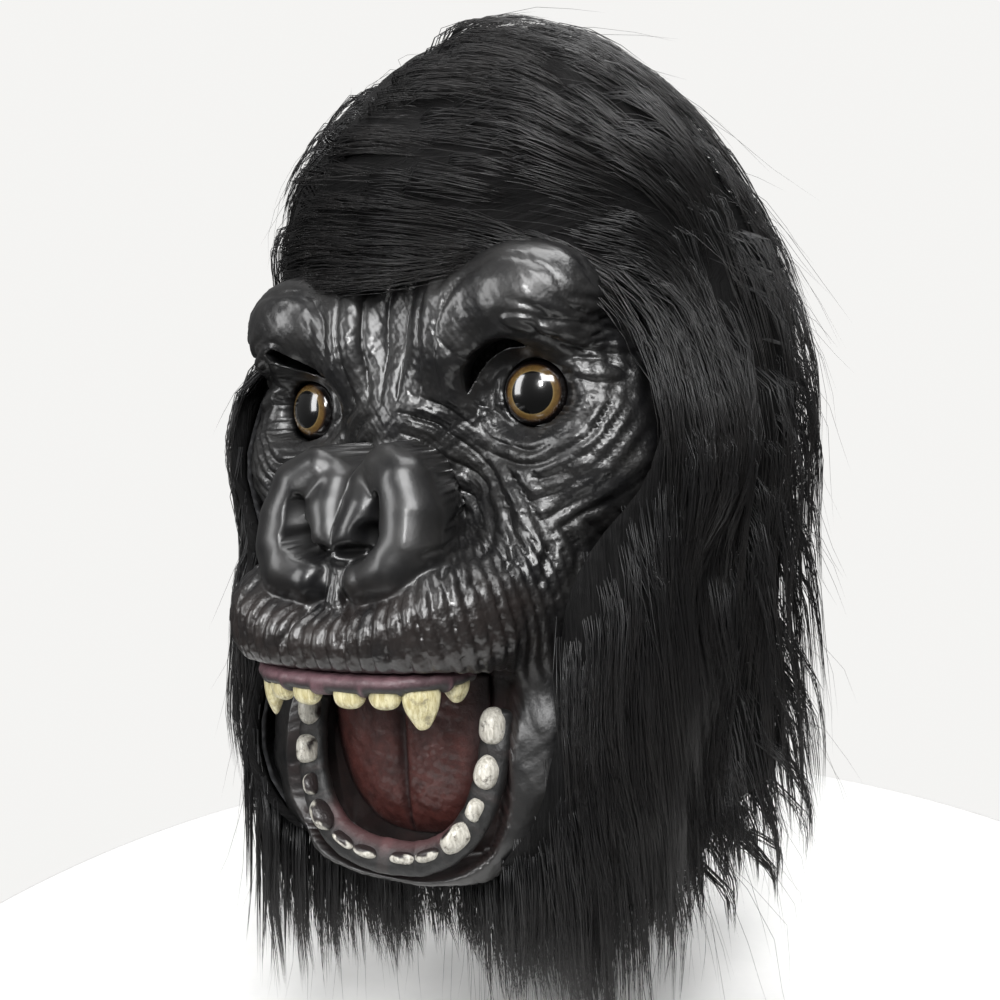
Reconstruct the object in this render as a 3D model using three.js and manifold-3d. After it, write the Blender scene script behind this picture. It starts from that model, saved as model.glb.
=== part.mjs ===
// Over-the-head gorilla mask: a moulded latex face with an open mouth, glass-look eyes, gums,
// teeth and a tongue, glued into a cloth hood that is covered with long black fur.
// Millimetres, +Z up, the face looks along -Y, the origin is the inside top of the hood.
import * as THREE from 'three';
import { mergeVertices } from 'three/addons/utils/BufferGeometryUtils.js';
import Module from 'manifold-3d';

const wasm = await Module();
wasm.setup();

// Head and face
const HEAD_HALF_WIDTH = 102; // skull form, side to side
const HEAD_HALF_DEPTH = 95; // skull form, front to back
const HEAD_HALF_HEIGHT = 150; // skull form, widest level to crown
const HEAD_ROUNDNESS = 1.9; // under 2 for a head that narrows to a crest
const NECK_HALF_WIDTH = 74;
const NECK_HALF_DEPTH = 68;
const NECK_HALF_HEIGHT = 130;
const FACE_AXIS = 45; // the face is measured forward from an upright line this far before the origin
const NOSE_DROP = 200; // crown to the middle of the nose
const FACE_HALF_WIDTH = 92;
const FACE_HEIGHT = 235; // hair line to chin
const MUZZLE_REACH = 110; // face axis to the front of the upper lip
const LATEX_WALL = 2.6;
const CLEARANCE = 0.3; // between pieces that touch
const FINEST_DETAIL = 0.03; // smaller steps and slivers are smoothed away

// Eyes and the slits that the wearer looks through
const EYE_SPACING = 104;
const EYE_RADIUS = 12.5;
const EYE_HEIGHT = 0.183 * FACE_HEIGHT; // above the middle of the nose
const EYE_FORWARD = 0.3 * MUZZLE_REACH; // eye centre before the face axis
const EYE_TURN = 12; // degrees that each eye looks outwards
const EYE_DOME = 6.5;
const EYE_SKIRT = 6;
const EYE_SIDES = 16;
const SLIT_LENGTH = 32;
const SLIT_HEIGHT = 6.4;
const SLIT_RISE = 15.5; // above the eye's centre
const SLIT_INSET = 9; // from the eye's centre towards the nose
const SLIT_TILT = 27; // degrees, the inner end is the lower one

// Mouth
const MOUTH_HALF_WIDTH = 50;
const MOUTH_HALF_HEIGHT = 0.179 * FACE_HEIGHT;
const MOUTH_DROP = 0.389 * FACE_HEIGHT; // middle of the nose to the middle of the mouth
const MOUTH_FLOOR = 0.482 * MUZZLE_REACH; // face axis to the back of the mouth
const LOWER_ARCH_HALF_WIDTH = 42;
const LOWER_ARCH_HEIGHT = 0.209 * FACE_HEIGHT;
const LOWER_ARCH_TOP = 0.328 * FACE_HEIGHT; // below the middle of the nose
const LOWER_ARCH_FORWARD = 0.545 * MUZZLE_REACH; // face axis to the arch's back ends
const LOWER_ARCH_LEAN = 0.118 * MUZZLE_REACH; // how much further forward its front is
const UPPER_ARCH_HALF_WIDTH = 40;
const UPPER_ARCH_DEPTH = 0.273 * MUZZLE_REACH;
const UPPER_ARCH_FORWARD = 0.655 * MUZZLE_REACH;
const UPPER_ARCH_DROP = MOUTH_DROP - MOUTH_HALF_HEIGHT + 3.8;
const UPPER_GUM_HEIGHT = 5.4;
const LOWER_GUM_HEIGHT = 7;
const GUM_THICKNESS = 10;
const TOOTH_ROOT = 1.3; // how far a tooth goes past the middle of its gum
const TONGUE_HALF_WIDTH = 36;
const TONGUE_HEIGHT = 1.52 * MOUTH_HALF_HEIGHT;
const TONGUE_THICKNESS = 8;
const TONGUE_GROOVE = 3;

// Hood and fur
const CLOTH_WALL = 1.6;
const HOOD_EASE = 3; // cloth outside the latex form
const HOOD_DROP = 362; // crown to the cloth's lower hem
const CROWN_RAYS_DROP = 100; // crown to where the hood's sweep turns from level to upward
const TAPER_START = 310; // crown to where the hanging fur starts to thin out
const HOOD_SPAN = 10; // cloth bridges hollows of about this height
const SEAM_GAP = 0.8; // fur skin outside the cloth
const PANEL_GAP = 0.6; // between neighbouring fur panels
const PILE_CROWN = 13;
const PILE_SIDE = 31;
const PILE_EDGE = 7; // where the fur meets the face
const HEM_TAPER = 0.6; // share of the pile that is left at the hem
const CHIN_PILE = 0.4; // share of the pile under the chin
const PILE_RAMP = 42; // distance from that edge to full pile
const LOCK_COUNT = 18;
const LOCK_COLUMNS = 3;
const LOCK_LENGTH = 46;
const LOCK_RELIEF = 0.14; // depth of the furrows between locks, as a share of the pile
const CROWN_PANEL_DROP = 92; // crown to the seam under the top panel
const BACK_PANEL_START = 42; // behind the origin
const CHIN_PANEL_HALF_WIDTH = 60;

// Face forms, each an egg with rounded-box exponent n. x and rx are shares of the face's half
// width, y and ry of the muzzle's reach, z and rz of the face's height, blend of the half width.
const FACE_FORMS = [
  { name: 'temple', x: 0.674, y: 0.118, z: 0.128, rx: 0.37, ry: 0.273, rz: 0.187, n: 2, blend: 0.2 },
  { name: 'cheek', x: 0.69, y: 0.227, z: 0.072, rx: 0.304, ry: 0.2, rz: 0.106, n: 2, blend: 0.13 },
  { name: 'bridge', x: 0, y: 0.345, z: 0.15, rx: 0.239, ry: 0.2, rz: 0.111, n: 2, blend: 0.13 },
  { name: 'jowl', x: 0.51, y: 0.318, z: -0.145, rx: 0.272, ry: 0.245, rz: 0.187, n: 2, blend: 0.2 },
  { name: 'jaw', x: 0, y: 0.255, z: -0.393, rx: 0.725, ry: 0.5, rz: 0.192, n: 2.3, blend: 0.12 },
  { name: 'lower_lip', x: 0, y: 0.57, z: -0.54, rx: 0.42, ry: 0.16, rz: 0.04, n: 2.3, blend: 0.1 },
  { name: 'brow', x: 0.54, y: 0.327, z: 0.325, rx: 0.33, ry: 0.225, rz: 0.098, n: 2, blend: 0.13 },
  { name: 'frown', x: 0.25, y: 0.382, z: 0.275, rx: 0.19, ry: 0.164, rz: 0.115, n: 2, blend: 0.09 },
  { name: 'muzzle', x: 0, y: 0.555, z: -0.15, rx: 0.665, ry: 0.445, rz: 0.114, n: 2.5, blend: 0.13 },
  { name: 'nose', x: 0, y: 0.573, z: -0.009, rx: 0.391, ry: 0.227, rz: 0.119, n: 2, blend: 0.09 },
  { name: 'nose_tip', x: 0.12, y: 0.7, z: 0.043, rx: 0.141, ry: 0.127, rz: 0.072, n: 2, blend: 0.05 },
  { name: 'nose_wing', x: 0.337, y: 0.645, z: -0.026, rx: 0.163, ry: 0.16, rz: 0.1, n: 2, blend: 0.05 },
];
const NOSTRIL_PITS = [
  { x: 0.19, y: 0.82, z: -0.038, rx: 0.125, ry: 0.16, rz: 0.036, n: 2, blend: 0.03 },
  { x: 0.285, y: 0.79, z: 0.012, rx: 0.055, ry: 0.12, rz: 0.052, n: 2, blend: 0.03 },
];
const EYE_SOCKET = { y: 0.527, rx: 0.27, ry: 0.227, rz: 0.074, n: 2, blend: 0.06 };
const LID_THICKNESS = 3;

// How the skin is swept: each station sends rays from the face axis to the surface. z and side
// are heights as shares of the face's height, at the middle and at the temples; reach is a share
// of the muzzle's reach; tilt is in degrees; steps counts the rows down to the next station.
const FACE_STATIONS = [
  { z: 0.5, reach: 0.35, tilt: 32, side: 0.5, steps: 2 },
  { z: 0.41, reach: 0.42, tilt: 20, side: 0.41, steps: 4 },
  { z: 0.3, reach: 0.5, tilt: 6, side: 0.31, steps: 4 },
  { z: 0.18, reach: 0.4, tilt: 0, side: 0.19, steps: 4 },
  { z: 0.08, reach: 0.7, tilt: 0, side: 0.09, steps: 5 },
  { z: -0.115, reach: 0.86, tilt: -5, side: -0.09, steps: 4 },
  { z: -0.2, reach: 0.97, tilt: -14, side: -0.16, steps: 1 },
  { z: -0.211, reach: 0.92, tilt: -26, side: -0.19, steps: 2 },
  { z: -0.213, reach: 0.53, tilt: -38, side: -0.22, steps: 1 },
  { z: -0.25, reach: 0.48, tilt: -32, side: -0.25, steps: 5 },
  { z: -0.545, reach: 0.49, tilt: 22, side: -0.42, steps: 1 },
  { z: -0.567, reach: 0.6, tilt: 20, side: -0.45, steps: 1 },
  { z: -0.567, reach: 0.78, tilt: 14, side: -0.47, steps: 1 },
  { z: -0.579, reach: 0.79, tilt: -5, side: -0.5, steps: 2 },
  { z: -0.612, reach: 0.6, tilt: -40, side: -0.58, steps: 1 },
  { z: -0.63, reach: 0.3, tilt: -60, side: -0.63, steps: 0 },
];
const FACE_COLUMNS = 34;
const FACE_SWEEP = 112; // degrees to each side
const FACE_SWEEP_EVEN = 52; // of those, the share that is spaced evenly

// The hood's rays run from the origin's upright line, from the crown down.
const HOOD_STATIONS = [
  { drop: CROWN_RAYS_DROP, tilt: 90, steps: 1 },
  { drop: CROWN_RAYS_DROP, tilt: 68, steps: 4 },
  { drop: CROWN_RAYS_DROP * 1.06, tilt: 0, steps: 7 },
  { drop: HOOD_DROP, tilt: 0, steps: 0 },
];

// Outline of the face opening in the hood, as shares of the face's half width and height.
const OPENING_OUTLINE = [
  { x: 0, z: 0.345 },
  { x: 0.26, z: 0.365 },
  { x: 0.56, z: 0.4 },
  { x: 0.86, z: 0.34 },
  { x: 1.0, z: 0.2 },
  { x: 0.96, z: 0.07 },
  { x: 0.8, z: -0.05 },
  { x: 0.76, z: -0.18 },
  { x: 0.73, z: -0.4 },
  { x: 0.54, z: -0.51 },
  { x: 0.34, z: -0.572 },
  { x: 0, z: -0.606 },
];

// Teeth. at is the place along half an arch, 0 at the middle and 1 at its end.
const UPPER_TEETH = [
  { name: 'upper_incisor_inner', at: 0.1, wide: 11, tall: 10, deep: 7, point: 0.2 },
  { name: 'upper_incisor_outer', at: 0.32, wide: 10.5, tall: 10, deep: 7, point: 0.25 },
  { name: 'upper_canine', at: 0.56, wide: 13, tall: 18, deep: 8, point: 0.75 },
  { name: 'upper_molar', at: 0.86, wide: 10, tall: 11, deep: 7.5, point: 0.4 },
];
const LOWER_TEETH = [
  { name: 'lower_incisor_inner', at: 0.085, wide: 10, tall: 9, deep: 5, point: 0.2 },
  { name: 'lower_incisor_outer', at: 0.25, wide: 10, tall: 9, deep: 5, point: 0.2 },
  { name: 'lower_canine', at: 0.47, wide: 13, tall: 10, deep: 8, point: 0.4 },
  { name: 'lower_premolar', at: 0.67, wide: 9.5, tall: 8, deep: 7, point: 0.1 },
  { name: 'lower_molar', at: 0.85, wide: 11.5, tall: 8, deep: 8, point: 0.1 },
  { name: 'lower_back_molar', at: 1.01, wide: 13, tall: 8, deep: 8.4, point: 0.1 },
];
const ARCH_EXPONENT = 2.5; // squareness of both arches and of the mouth's lower half
const MOUTH_ROOF_EXPONENT = 10; // its upper half is almost square

const radians = THREE.MathUtils.degToRad;
const { lerp, smoothstep } = THREE.MathUtils;
const faceX = (share) => share * FACE_HALF_WIDTH;
const faceY = (forward) => -FACE_AXIS - forward;
const faceZ = (rise) => rise - NOSE_DROP;

/** A form's shares turned into millimetres. */
function sized(form) {
  return {
    cx: faceX(form.x),
    cy: faceY(form.y * MUZZLE_REACH),
    cz: faceZ(form.z * FACE_HEIGHT),
    rx: form.rx * FACE_HALF_WIDTH,
    ry: form.ry * MUZZLE_REACH,
    rz: form.rz * FACE_HEIGHT,
    n: form.n,
    blend: form.blend * FACE_HALF_WIDTH,
  };
}

/** Distance from a point to an egg, about true near its skin, less than 0 inside. */
function eggGap([x, y, z], egg) {
  const u = Math.abs(Math.abs(x) - egg.cx) / egg.rx;
  const v = Math.abs(y - egg.cy) / egg.ry;
  const w = Math.abs(z - egg.cz) / egg.rz;
  const k = Math.max((u ** egg.n + v ** egg.n + w ** egg.n) ** (1 / egg.n), 1e-3);
  const slope = Math.hypot(
    u ** (egg.n - 1) / egg.rx,
    v ** (egg.n - 1) / egg.ry,
    w ** (egg.n - 1) / egg.rz,
  ) * k ** (1 - egg.n);
  return (k - 1) / Math.max(slope, 1e-6);
}

/** The nearer of two distances, with a fillet of the given size between them. */
function joined(a, b, fillet) {
  const h = Math.max(fillet - Math.abs(a - b), 0) / fillet;
  return Math.min(a, b) - (h * h * fillet) / 4;
}

/** Form a with form b cut out of it, with a fillet. */
function carved(a, b, fillet) {
  return -joined(-a, b, fillet);
}

const SKULL = {
  cx: 0, cy: 0, cz: -HOOD_EASE - HEAD_HALF_HEIGHT,
  rx: HEAD_HALF_WIDTH, ry: HEAD_HALF_DEPTH, rz: HEAD_HALF_HEIGHT, n: HEAD_ROUNDNESS,
};
const NECK = {
  cx: 0, cy: HEAD_HALF_DEPTH - NECK_HALF_DEPTH - 20, cz: faceZ(-LOWER_ARCH_TOP) - 25,
  rx: NECK_HALF_WIDTH, ry: NECK_HALF_DEPTH, rz: NECK_HALF_HEIGHT, n: 2.6,
};
const FORMS = FACE_FORMS.map((form) => ({ ...sized(form), name: form.name }));
const PITS = NOSTRIL_PITS.map(sized);
const EYE_CENTRE = new THREE.Vector3(EYE_SPACING / 2, faceY(EYE_FORWARD), faceZ(EYE_HEIGHT));
const EYE_LOOK = new THREE.Vector3(Math.sin(radians(EYE_TURN)), -Math.cos(radians(EYE_TURN)), 0);
const SOCKET = sized({ ...EYE_SOCKET, x: 0, z: 0 });
SOCKET.cx = EYE_CENTRE.x;
SOCKET.cz = EYE_CENTRE.z;
const SMALL_FORMS = ['nose_tip', 'nose_wing'];
const HOOD_FORMS = ['temple', 'cheek', 'jowl', 'jaw'];

/** Distance to the head, neck and face without nose details, eyes and mouth. */
function mainGap(point, forms) {
  let gap = joined(eggGap(point, SKULL), eggGap(point, NECK), 30);
  for (const form of forms) gap = joined(gap, eggGap(point, form), form.blend);
  return gap;
}

/** Distance to the ring of the eyelids. */
function lidGap([x, y, z]) {
  const spoke = new THREE.Vector3(Math.abs(x), y, z).sub(EYE_CENTRE);
  const along = spoke.dot(EYE_LOOK);
  const across = Math.sqrt(Math.max(spoke.lengthSq() - along * along, 0));
  return Math.hypot(across - EYE_RADIUS - LID_THICKNESS / 2, along - 1) - LID_THICKNESS;
}

/** Distance to the mouth's hollow: an upright rounded outline that runs forward from its floor. */
function mouthGap([x, y, z], grow) {
  const u = Math.abs(x) / (MOUTH_HALF_WIDTH + grow);
  const rise = z - faceZ(-MOUTH_DROP);
  const w = Math.abs(rise) / (MOUTH_HALF_HEIGHT + grow);
  const n = rise > 0 ? MOUTH_ROOF_EXPONENT : ARCH_EXPONENT;
  const k = (u ** n + w ** n) ** (1 / n);
  const beside = (k - 1) * Math.min(MOUTH_HALF_WIDTH, MOUTH_HALF_HEIGHT);
  return Math.max(beside, y - faceY(MOUTH_FLOOR) - grow);
}

/** Distance to the outside of the latex. */
function skinGap(point) {
  let gap = mainGap(point, FORMS);
  gap = carved(gap, eggGap(point, SOCKET), EYE_SOCKET.blend * FACE_HALF_WIDTH);
  gap = joined(gap, lidGap(point), LID_THICKNESS);
  gap = carved(gap, mouthGap(point, 0), LATEX_WALL);
  for (const pit of PITS) gap = carved(gap, eggGap(point, pit), pit.blend);
  return gap;
}

/** Distance to the inside of the latex: the wall's thickness under the outside. */
function liningGap(point) {
  const plain = carved(
    mainGap(point, FORMS.filter((form) => !SMALL_FORMS.includes(form.name))),
    mouthGap(point, 0),
    LATEX_WALL,
  );
  return Math.max(skinGap(point), plain) + LATEX_WALL;
}

/** Distance to the inside of the cloth hood, which follows the head and not the muzzle. */
function hoodGap(point) {
  return mainGap(point, FORMS.filter((form) => HOOD_FORMS.includes(form.name))) - HOOD_EASE;
}

/** The outermost place along a ray where gap() turns negative. */
function meet(gap, from, along, furthest) {
  const at = (t) => [from[0] + along[0] * t, from[1] + along[1] * t, from[2] + along[2] * t];
  const stride = 2;
  let near = furthest;
  while (near > stride && gap(at(near)) > 0) near -= stride;
  let low = near;
  let high = near + stride;
  for (let i = 0; i < 14; i += 1) {
    const middle = (low + high) / 2;
    if (gap(at(middle)) > 0) high = middle;
    else low = middle;
  }
  return low;
}

/** Rows between stations, each value moved evenly from one station to the next. */
function spreadStations(stations) {
  const rows = [];
  stations.forEach((station, i) => {
    const next = stations[i + 1];
    for (let step = 0; step < station.steps; step += 1) {
      const share = step / station.steps;
      rows.push(Object.fromEntries(
        Object.keys(station).map((key) => [key, lerp(station[key], next[key], share)]),
      ));
    }
  });
  rows.push(stations.at(-1));
  return rows;
}

/** One closed skin that is gathered corner by corner. */
class Skin {
  corners = [];

  triangles = [];

  net(rows) {
    return rows.map((row) => row.map((point) => {
      this.corners.push(...point);
      return this.corners.length / 3 - 1;
    }));
  }

  face(a, b, c) {
    if (a !== b && b !== c && a !== c) this.triangles.push(a, b, c);
  }

  cover(net, turned) {
    for (let i = 0; i + 1 < net.length; i += 1) {
      for (let j = 0; j + 1 < net[i].length; j += 1) {
        const [a, b, c, d] = [net[i][j], net[i][j + 1], net[i + 1][j + 1], net[i + 1][j]];
        if (turned) {
          this.face(a, c, b);
          this.face(a, d, c);
        } else {
          this.face(a, b, c);
          this.face(a, c, d);
        }
      }
    }
  }

  /** Fills the strip between two paths that run side by side, with any number of corners. */
  bridge(outer, inner) {
    let i = 0;
    let j = 0;
    while (i < outer.length - 1 || j < inner.length - 1) {
      const outerNext = (i + 1) / (outer.length - 1);
      const innerNext = (j + 1) / (inner.length - 1);
      if (j >= inner.length - 1 || (i < outer.length - 1 && outerNext <= innerNext)) {
        this.face(outer[i + 1], outer[i], inner[j]);
        i += 1;
      } else {
        this.face(outer[i], inner[j], inner[j + 1]);
        j += 1;
      }
    }
  }

  solid() {
    const geometry = new THREE.BufferGeometry();
    geometry.setAttribute('position', new THREE.Float32BufferAttribute(this.corners, 3));
    geometry.setIndex(this.triangles);
    return solidOf(geometry);
  }
}

/** A closed geometry as a solid that can be cut and joined. */
function solidOf(geometry) {
  const bare = geometry.clone();
  bare.deleteAttribute('normal');
  bare.deleteAttribute('uv');
  const whole = mergeVertices(bare, 1e-4);
  const corners = whole.index.array;
  const kept = [];
  for (let i = 0; i < corners.length; i += 3) {
    const [a, b, c] = [corners[i], corners[i + 1], corners[i + 2]];
    if (a !== b && b !== c && a !== c) kept.push(a, b, c);
  }
  const make = (triVerts) => new wasm.Manifold(new wasm.Mesh({
    numProp: 3,
    vertProperties: Float32Array.from(whole.attributes.position.array),
    triVerts: Uint32Array.from(triVerts),
  }));
  const made = make(kept);
  if (made.volume() > 0) return made;
  for (let i = 0; i < kept.length; i += 3) [kept[i], kept[i + 1]] = [kept[i + 1], kept[i]];
  return make(kept);
}

/** A solid as a named mesh. */
function meshOf(name, solid, material) {
  const { vertProperties, triVerts } = solid.simplify(FINEST_DETAIL).getMesh();
  const geometry = new THREE.BufferGeometry();
  geometry.setAttribute('position', new THREE.Float32BufferAttribute(vertProperties, 3));
  geometry.setIndex([...triVerts]);
  geometry.computeVertexNormals();
  const mesh = new THREE.Mesh(geometry, material);
  mesh.name = name;
  return mesh;
}

/** An upright block between two opposite corners. */
function block(low, high) {
  const size = high.map((value, i) => value - low[i]);
  const middle = high.map((value, i) => (value + low[i]) / 2);
  return solidOf(new THREE.BoxGeometry(...size).translate(...middle));
}

/** A row of the face: points where rays at this station meet a surface, from side to side. */
function faceRow(gap, row, columns) {
  const points = [];
  const reach = row.reach * MUZZLE_REACH;
  const midFrom = row.z * FACE_HEIGHT - Math.tan(radians(row.tilt)) * reach;
  for (let column = 0; column <= columns; column += 1) {
    const u = (2 * column) / columns - 1;
    const turn = FACE_SWEEP_EVEN * u + (FACE_SWEEP - FACE_SWEEP_EVEN) * u ** 3;
    const side = smoothstep(Math.abs(turn), 32, 66);
    const tilt = radians(row.tilt * (1 - side));
    const from = [0, -FACE_AXIS, faceZ(lerp(midFrom, row.side * FACE_HEIGHT, side))];
    const along = [
      Math.sin(radians(turn)) * Math.cos(tilt),
      -Math.cos(radians(turn)) * Math.cos(tilt),
      Math.sin(tilt),
    ];
    const t = meet(gap, from, along, MUZZLE_REACH * 1.6);
    points.push(from.map((value, i) => value + along[i] * t));
  }
  return points;
}

/** The eye's place and its way of looking as a matrix, for the right or left side. */
function eyeFrame(side) {
  const look = EYE_LOOK.clone().setX(EYE_LOOK.x * side);
  const turn = new THREE.Quaternion().setFromUnitVectors(new THREE.Vector3(0, 1, 0), look);
  const place = EYE_CENTRE.clone().setX(EYE_CENTRE.x * side);
  return new THREE.Matrix4().compose(place, turn, new THREE.Vector3(1, 1, 1));
}

/** Rounded slot over one eye, as a cutter along Y. */
function slitCutter(side) {
  const outline = new THREE.Shape();
  const half = SLIT_LENGTH / 2 - SLIT_HEIGHT / 2;
  outline.absarc(-half, 0, SLIT_HEIGHT / 2, Math.PI / 2, 1.5 * Math.PI, false);
  outline.absarc(half, 0, SLIT_HEIGHT / 2, -Math.PI / 2, Math.PI / 2, false);
  const bar = new THREE.ExtrudeGeometry(outline, {
    depth: MUZZLE_REACH, bevelEnabled: false, curveSegments: 3,
  });
  bar.rotateZ(side * radians(SLIT_TILT));
  bar.rotateX(Math.PI / 2);
  bar.translate(side * (EYE_CENTRE.x - SLIT_INSET), -FACE_AXIS, EYE_CENTRE.z + SLIT_RISE);
  return solidOf(bar);
}

/** A closed wall between two surfaces of the face, the inner one with half as many corners. */
function faceWall(outerGap, innerGap) {
  const rows = spreadStations(FACE_STATIONS);
  const skin = new Skin();
  const outer = skin.net(rows.map((row) => faceRow(outerGap, row, FACE_COLUMNS)));
  const innerRows = rows.filter((_, i) => i % 2 === 0 || i === rows.length - 1);
  const inner = skin.net(innerRows.map((row) => faceRow(innerGap, row, FACE_COLUMNS / 2)));
  skin.cover(outer, false);
  skin.cover(inner, true);
  const last = (net) => net.map((row) => row.at(-1));
  const first = (net) => net.map((row) => row[0]).reverse();
  skin.bridge(outer[0], inner[0]);
  skin.bridge(last(outer), last(inner));
  skin.bridge([...outer.at(-1)].reverse(), [...inner.at(-1)].reverse());
  skin.bridge(first(outer), first(inner));
  return skin.solid();
}

/** The latex face: brow, cheeks, nose, muzzle, mouth and chin in one moulded wall. */
function latexFace() {
  let face = faceWall(skinGap, liningGap);
  for (const side of [-1, 1]) {
    const hole = new THREE.CylinderGeometry(
      EYE_RADIUS + CLEARANCE, EYE_RADIUS + CLEARANCE, 4 * EYE_SKIRT, EYE_SIDES,
    ).applyMatrix4(eyeFrame(side));
    face = face.subtract(solidOf(hole)).subtract(slitCutter(side));
  }
  return face;
}

/** A domed eye with a plain skirt that sits in the face's round hole. */
function eye(side) {
  const profile = [new THREE.Vector2(0, -EYE_SKIRT / 2), new THREE.Vector2(EYE_RADIUS, -EYE_SKIRT / 2)];
  const rings = 4;
  for (let i = 0; i <= rings; i += 1) {
    const angle = (i / rings) * (Math.PI / 2);
    const radius = i === rings ? 0 : EYE_RADIUS * Math.cos(angle);
    profile.push(new THREE.Vector2(radius, EYE_SKIRT / 2 + EYE_DOME * Math.sin(angle)));
  }
  return solidOf(new THREE.LatheGeometry(profile, EYE_SIDES).applyMatrix4(eyeFrame(side)));
}

/** x to the power p that keeps its sign. */
function signedPower(x, p) {
  return Math.sign(x) * Math.abs(x) ** p;
}

/** Middle of the lower gum, at -1 to 1 along the arch, and straight up past its ends. */
function lowerArch(at) {
  const angle = (THREE.MathUtils.clamp(at, -1, 1) * Math.PI) / 2;
  const x = LOWER_ARCH_HALF_WIDTH * signedPower(Math.sin(angle), 2 / ARCH_EXPONENT);
  const down = Math.max(Math.cos(angle), 0) ** (2 / ARCH_EXPONENT) - Math.max(Math.abs(at) - 1, 0);
  return new THREE.Vector3(
    x,
    faceY(LOWER_ARCH_FORWARD + LOWER_ARCH_LEAN * down),
    faceZ(-LOWER_ARCH_TOP - LOWER_ARCH_HEIGHT * down),
  );
}

/** Middle of the upper gum, at -1 to 1 along the arch. */
function upperArch(at) {
  const angle = (at * Math.PI) / 2;
  const x = UPPER_ARCH_HALF_WIDTH * signedPower(Math.sin(angle), 2 / ARCH_EXPONENT);
  const front = Math.max(Math.cos(angle), 0) ** (2 / ARCH_EXPONENT);
  return new THREE.Vector3(
    x,
    faceY(UPPER_ARCH_FORWARD + UPPER_ARCH_DEPTH * front),
    faceZ(-UPPER_ARCH_DROP),
  );
}

/** Frame at a place on an arch: along it, across it, and the way that the teeth point. */
function archFrame(arch, at, pointing) {
  const step = 0.01;
  const along = arch(at + step).sub(arch(at - step)).normalize();
  const across = new THREE.Vector3().crossVectors(along, pointing).normalize();
  const tip = new THREE.Vector3().crossVectors(across, along).normalize();
  return { centre: arch(at), along, across, tip };
}

/** A bar with a rounded section that follows an arch, with closed ends. */
function archBar(arch, pointing, thickness, height, reach) {
  const steps = 12;
  const sides = 6;
  const rows = [];
  for (let i = 0; i <= steps; i += 1) {
    const at = reach * ((2 * i) / steps - 1);
    const { centre, across, tip } = archFrame(arch, at, pointing);
    const ring = [];
    for (let j = 0; j < sides; j += 1) {
      const angle = (2 * Math.PI * (j + 0.5)) / sides;
      ring.push(centre.clone()
        .addScaledVector(across, (Math.cos(angle) * thickness) / 2)
        .addScaledVector(tip, (Math.sin(angle) * height) / 2)
        .toArray());
    }
    rows.push(ring);
  }
  const skin = new Skin();
  const net = skin.net(rows).map((ring) => [...ring, ring[0]]);
  skin.cover(net, false);
  for (const [ring, turned] of [[net[0], false], [net.at(-1), true]]) {
    for (let j = 1; j + 1 < sides; j += 1) {
      if (turned) skin.face(ring[0], ring[j], ring[j + 1]);
      else skin.face(ring[0], ring[j + 1], ring[j]);
    }
  }
  return skin.solid();
}

/** A tooth: an egg with squared sides that narrows towards its tip. */
function tooth(arch, row, side, pointing, grow) {
  const { centre, along, across, tip } = archFrame(arch, side * row.at, pointing);
  const egg = new THREE.SphereGeometry(1, 6, 4);
  const place = egg.attributes.position;
  for (let i = 0; i < place.count; i += 1) {
    const rise = place.getZ(i);
    const narrow = 1 - row.point * smoothstep(rise, -0.4, 1) * 0.8;
    const wide = signedPower(place.getX(i), 0.8) * (row.wide / 2 + grow) * narrow;
    const deep = signedPower(place.getY(i), 0.9) * (row.deep / 2 + grow) * narrow;
    const tall = rise * (row.tall / 2 + grow) + row.tall / 2 - TOOTH_ROOT;
    const point = centre.clone()
      .addScaledVector(along, wide)
      .addScaledVector(across, deep)
      .addScaledVector(tip, tall);
    place.setXYZ(i, point.x, point.y, point.z);
  }
  return solidOf(egg);
}

/** A gum with a socket for each tooth, and the teeth. */
function jawSet(prefix, arch, rows, pointing, height, reach, materials) {
  let gum = archBar(arch, pointing, GUM_THICKNESS, height, reach);
  const teeth = [];
  for (const row of rows) {
    for (const side of [-1, 1]) {
      const name = `${row.name}_${side > 0 ? 'left' : 'right'}`;
      teeth.push(meshOf(name, tooth(arch, row, side, pointing, 0), materials.tooth));
      gum = gum.subtract(tooth(arch, row, side, pointing, CLEARANCE));
    }
  }
  return [meshOf(`${prefix}_gum`, gum, materials.gum), ...teeth];
}

/** The tongue: a shield with a groove down its middle, flat where it lies on the mouth's floor. */
function tongue() {
  const across = 8;
  const down = 6;
  const floor = faceY(MOUTH_FLOOR + CLEARANCE + 0.4);
  const top = faceZ(-MOUTH_DROP + MOUTH_HALF_HEIGHT * 0.76);
  const rows = (lift) => Array.from({ length: down + 1 }, (_, i) => {
    const share = i / down;
    const half = TONGUE_HALF_WIDTH * (1 - share ** 3) ** (1 / ARCH_EXPONENT) + 0.5;
    return Array.from({ length: across + 1 }, (__, j) => {
      const u = (2 * j) / across - 1;
      const dome = (1 - Math.abs(u) ** 3) * (1 - share ** 6);
      const groove = TONGUE_GROOVE * Math.exp(-((u / 0.14) ** 2));
      const rise = lift * Math.max(TONGUE_THICKNESS * dome - groove * (1 - share), 0);
      return [u * half, floor - lift * 1.2 - rise, top - share * TONGUE_HEIGHT];
    });
  });
  const skin = new Skin();
  const front = skin.net(rows(1));
  const back = skin.net(rows(0));
  skin.cover(front, false);
  skin.cover(back, true);
  skin.bridge(front[0], back[0]);
  skin.bridge(front.map((row) => row.at(-1)), back.map((row) => row.at(-1)));
  skin.bridge([...front.at(-1)].reverse(), [...back.at(-1)].reverse());
  skin.bridge(front.map((row) => row[0]).reverse(), back.map((row) => row[0]).reverse());
  return skin.solid();
}

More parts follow.
